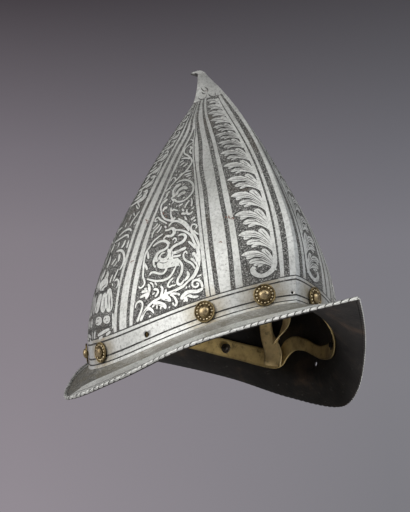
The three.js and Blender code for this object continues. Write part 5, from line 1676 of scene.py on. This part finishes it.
soft_light("side_key", (-1.87, -0.16, 0.55), 1.3, 15.4, (1, 0.99, 0.965))
soft_light("upper_key", (-1.12, -0.77, 1.52), 1.6, 11.2, (1, 0.99, 0.97))
soft_light("front", (0.4, -1.52, 1.26), 1.4, 17.5, (0.97, 0.985, 1))
soft_light("side", (-1.63, 0.77, 0.81), 1.4, 8, (1, 0.99, 0.97))
soft_light("far_side", (1.42, -1.0, 0.96), 1.4, 4.5, (0.86, 0.92, 1))
soft_light("from_below", (0.26, -0.72, -0.64), 0.5, 10, (1, 0.98, 0.94), target=(0.05, 0, 0.05))

# %% Hang the background
PAPER_WITH_PAINTED_LIGHT = {  # how high the eye looks, and the paper's colour with painted light there, at the picture's left and at its right
    "left": [(-0.06, (0.3, 0.27, 0.3)), (0.08, (0.263, 0.236, 0.263)), (0.19, (0.232, 0.208, 0.232)),
             (0.26, (0.178, 0.16, 0.182)), (0.33, (0.108, 0.096, 0.109)), (0.39, (0.046, 0.039, 0.045))],
    "right": [(-0.06, (0.2, 0.197, 0.216)), (0.08, (0.212, 0.208, 0.228)), (0.19, (0.197, 0.192, 0.215)),
              (0.26, (0.15, 0.147, 0.166)), (0.33, (0.1, 0.097, 0.109)), (0.39, (0.06, 0.056, 0.063))],
}
HORIZON = 0.5  # where level sight lies on a ramp
PICTURE_RIGHT = (0.904, -0.427, 0)
world = bpy.data.worlds.new("studio")
bpy.context.scene.world = world
world.use_nodes = True
sky = world.node_tree.nodes["Background"]
sky.inputs["Color"].default_value = (0.5, 0.5, 0.52, 1)
sky.inputs["Strength"].default_value = 0.1
ray = node(world, "LightPath").outputs
bounced = maths(world, "ADD", ray["Is Glossy Ray"], ray["Is Transmission Ray"])
sees_paper = maths(world, "ADD", ray["Is Camera Ray"], bounced, clamp=True)
towards = node(world, "TexCoord").outputs["Generated"]
height = plus(world, node(world, "SeparateXYZ", in_0=towards).outputs["Z"], HORIZON)
left_paper, right_paper = (steps(world, height, *((at + HORIZON, colour) for at, colour in stops))
                           for stops in PAPER_WITH_PAINTED_LIGHT.values())
rightward = node(world, "VectorMath", {"operation": "DOT_PRODUCT"}, in_0=towards, in_1=PICTURE_RIGHT)
rightness = node(world, "MapRange", Value=rightward.outputs["Value"], From_Min=-0.15, From_Max=0.15)
colour = blend_colours(world, rightness.outputs[0], left_paper, right_paper)
paper = node(world, "Background", Color=colour)
backdrop = node(world, "MixShader", in_0=sees_paper, in_1=sky.outputs[0], in_2=paper.outputs[0])
link(world, backdrop.outputs[0], world.node_tree.nodes["World Output"], "Surface")
bpy.context.scene.view_settings.view_transform = "Standard"

# %% [markdown]
# ## The pieces on the body
# Every piece rides on the one rigid body, and the CAD piece that it stands for is hidden.

# %% Ride and replace
for piece, cad, slot in [(skull, "skull", "etched_steel"), (rope, None, "etched_steel"), *fittings, *leathers,
                         *ornaments]:
    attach(piece, "root")
    if cad:
        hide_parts(cad)
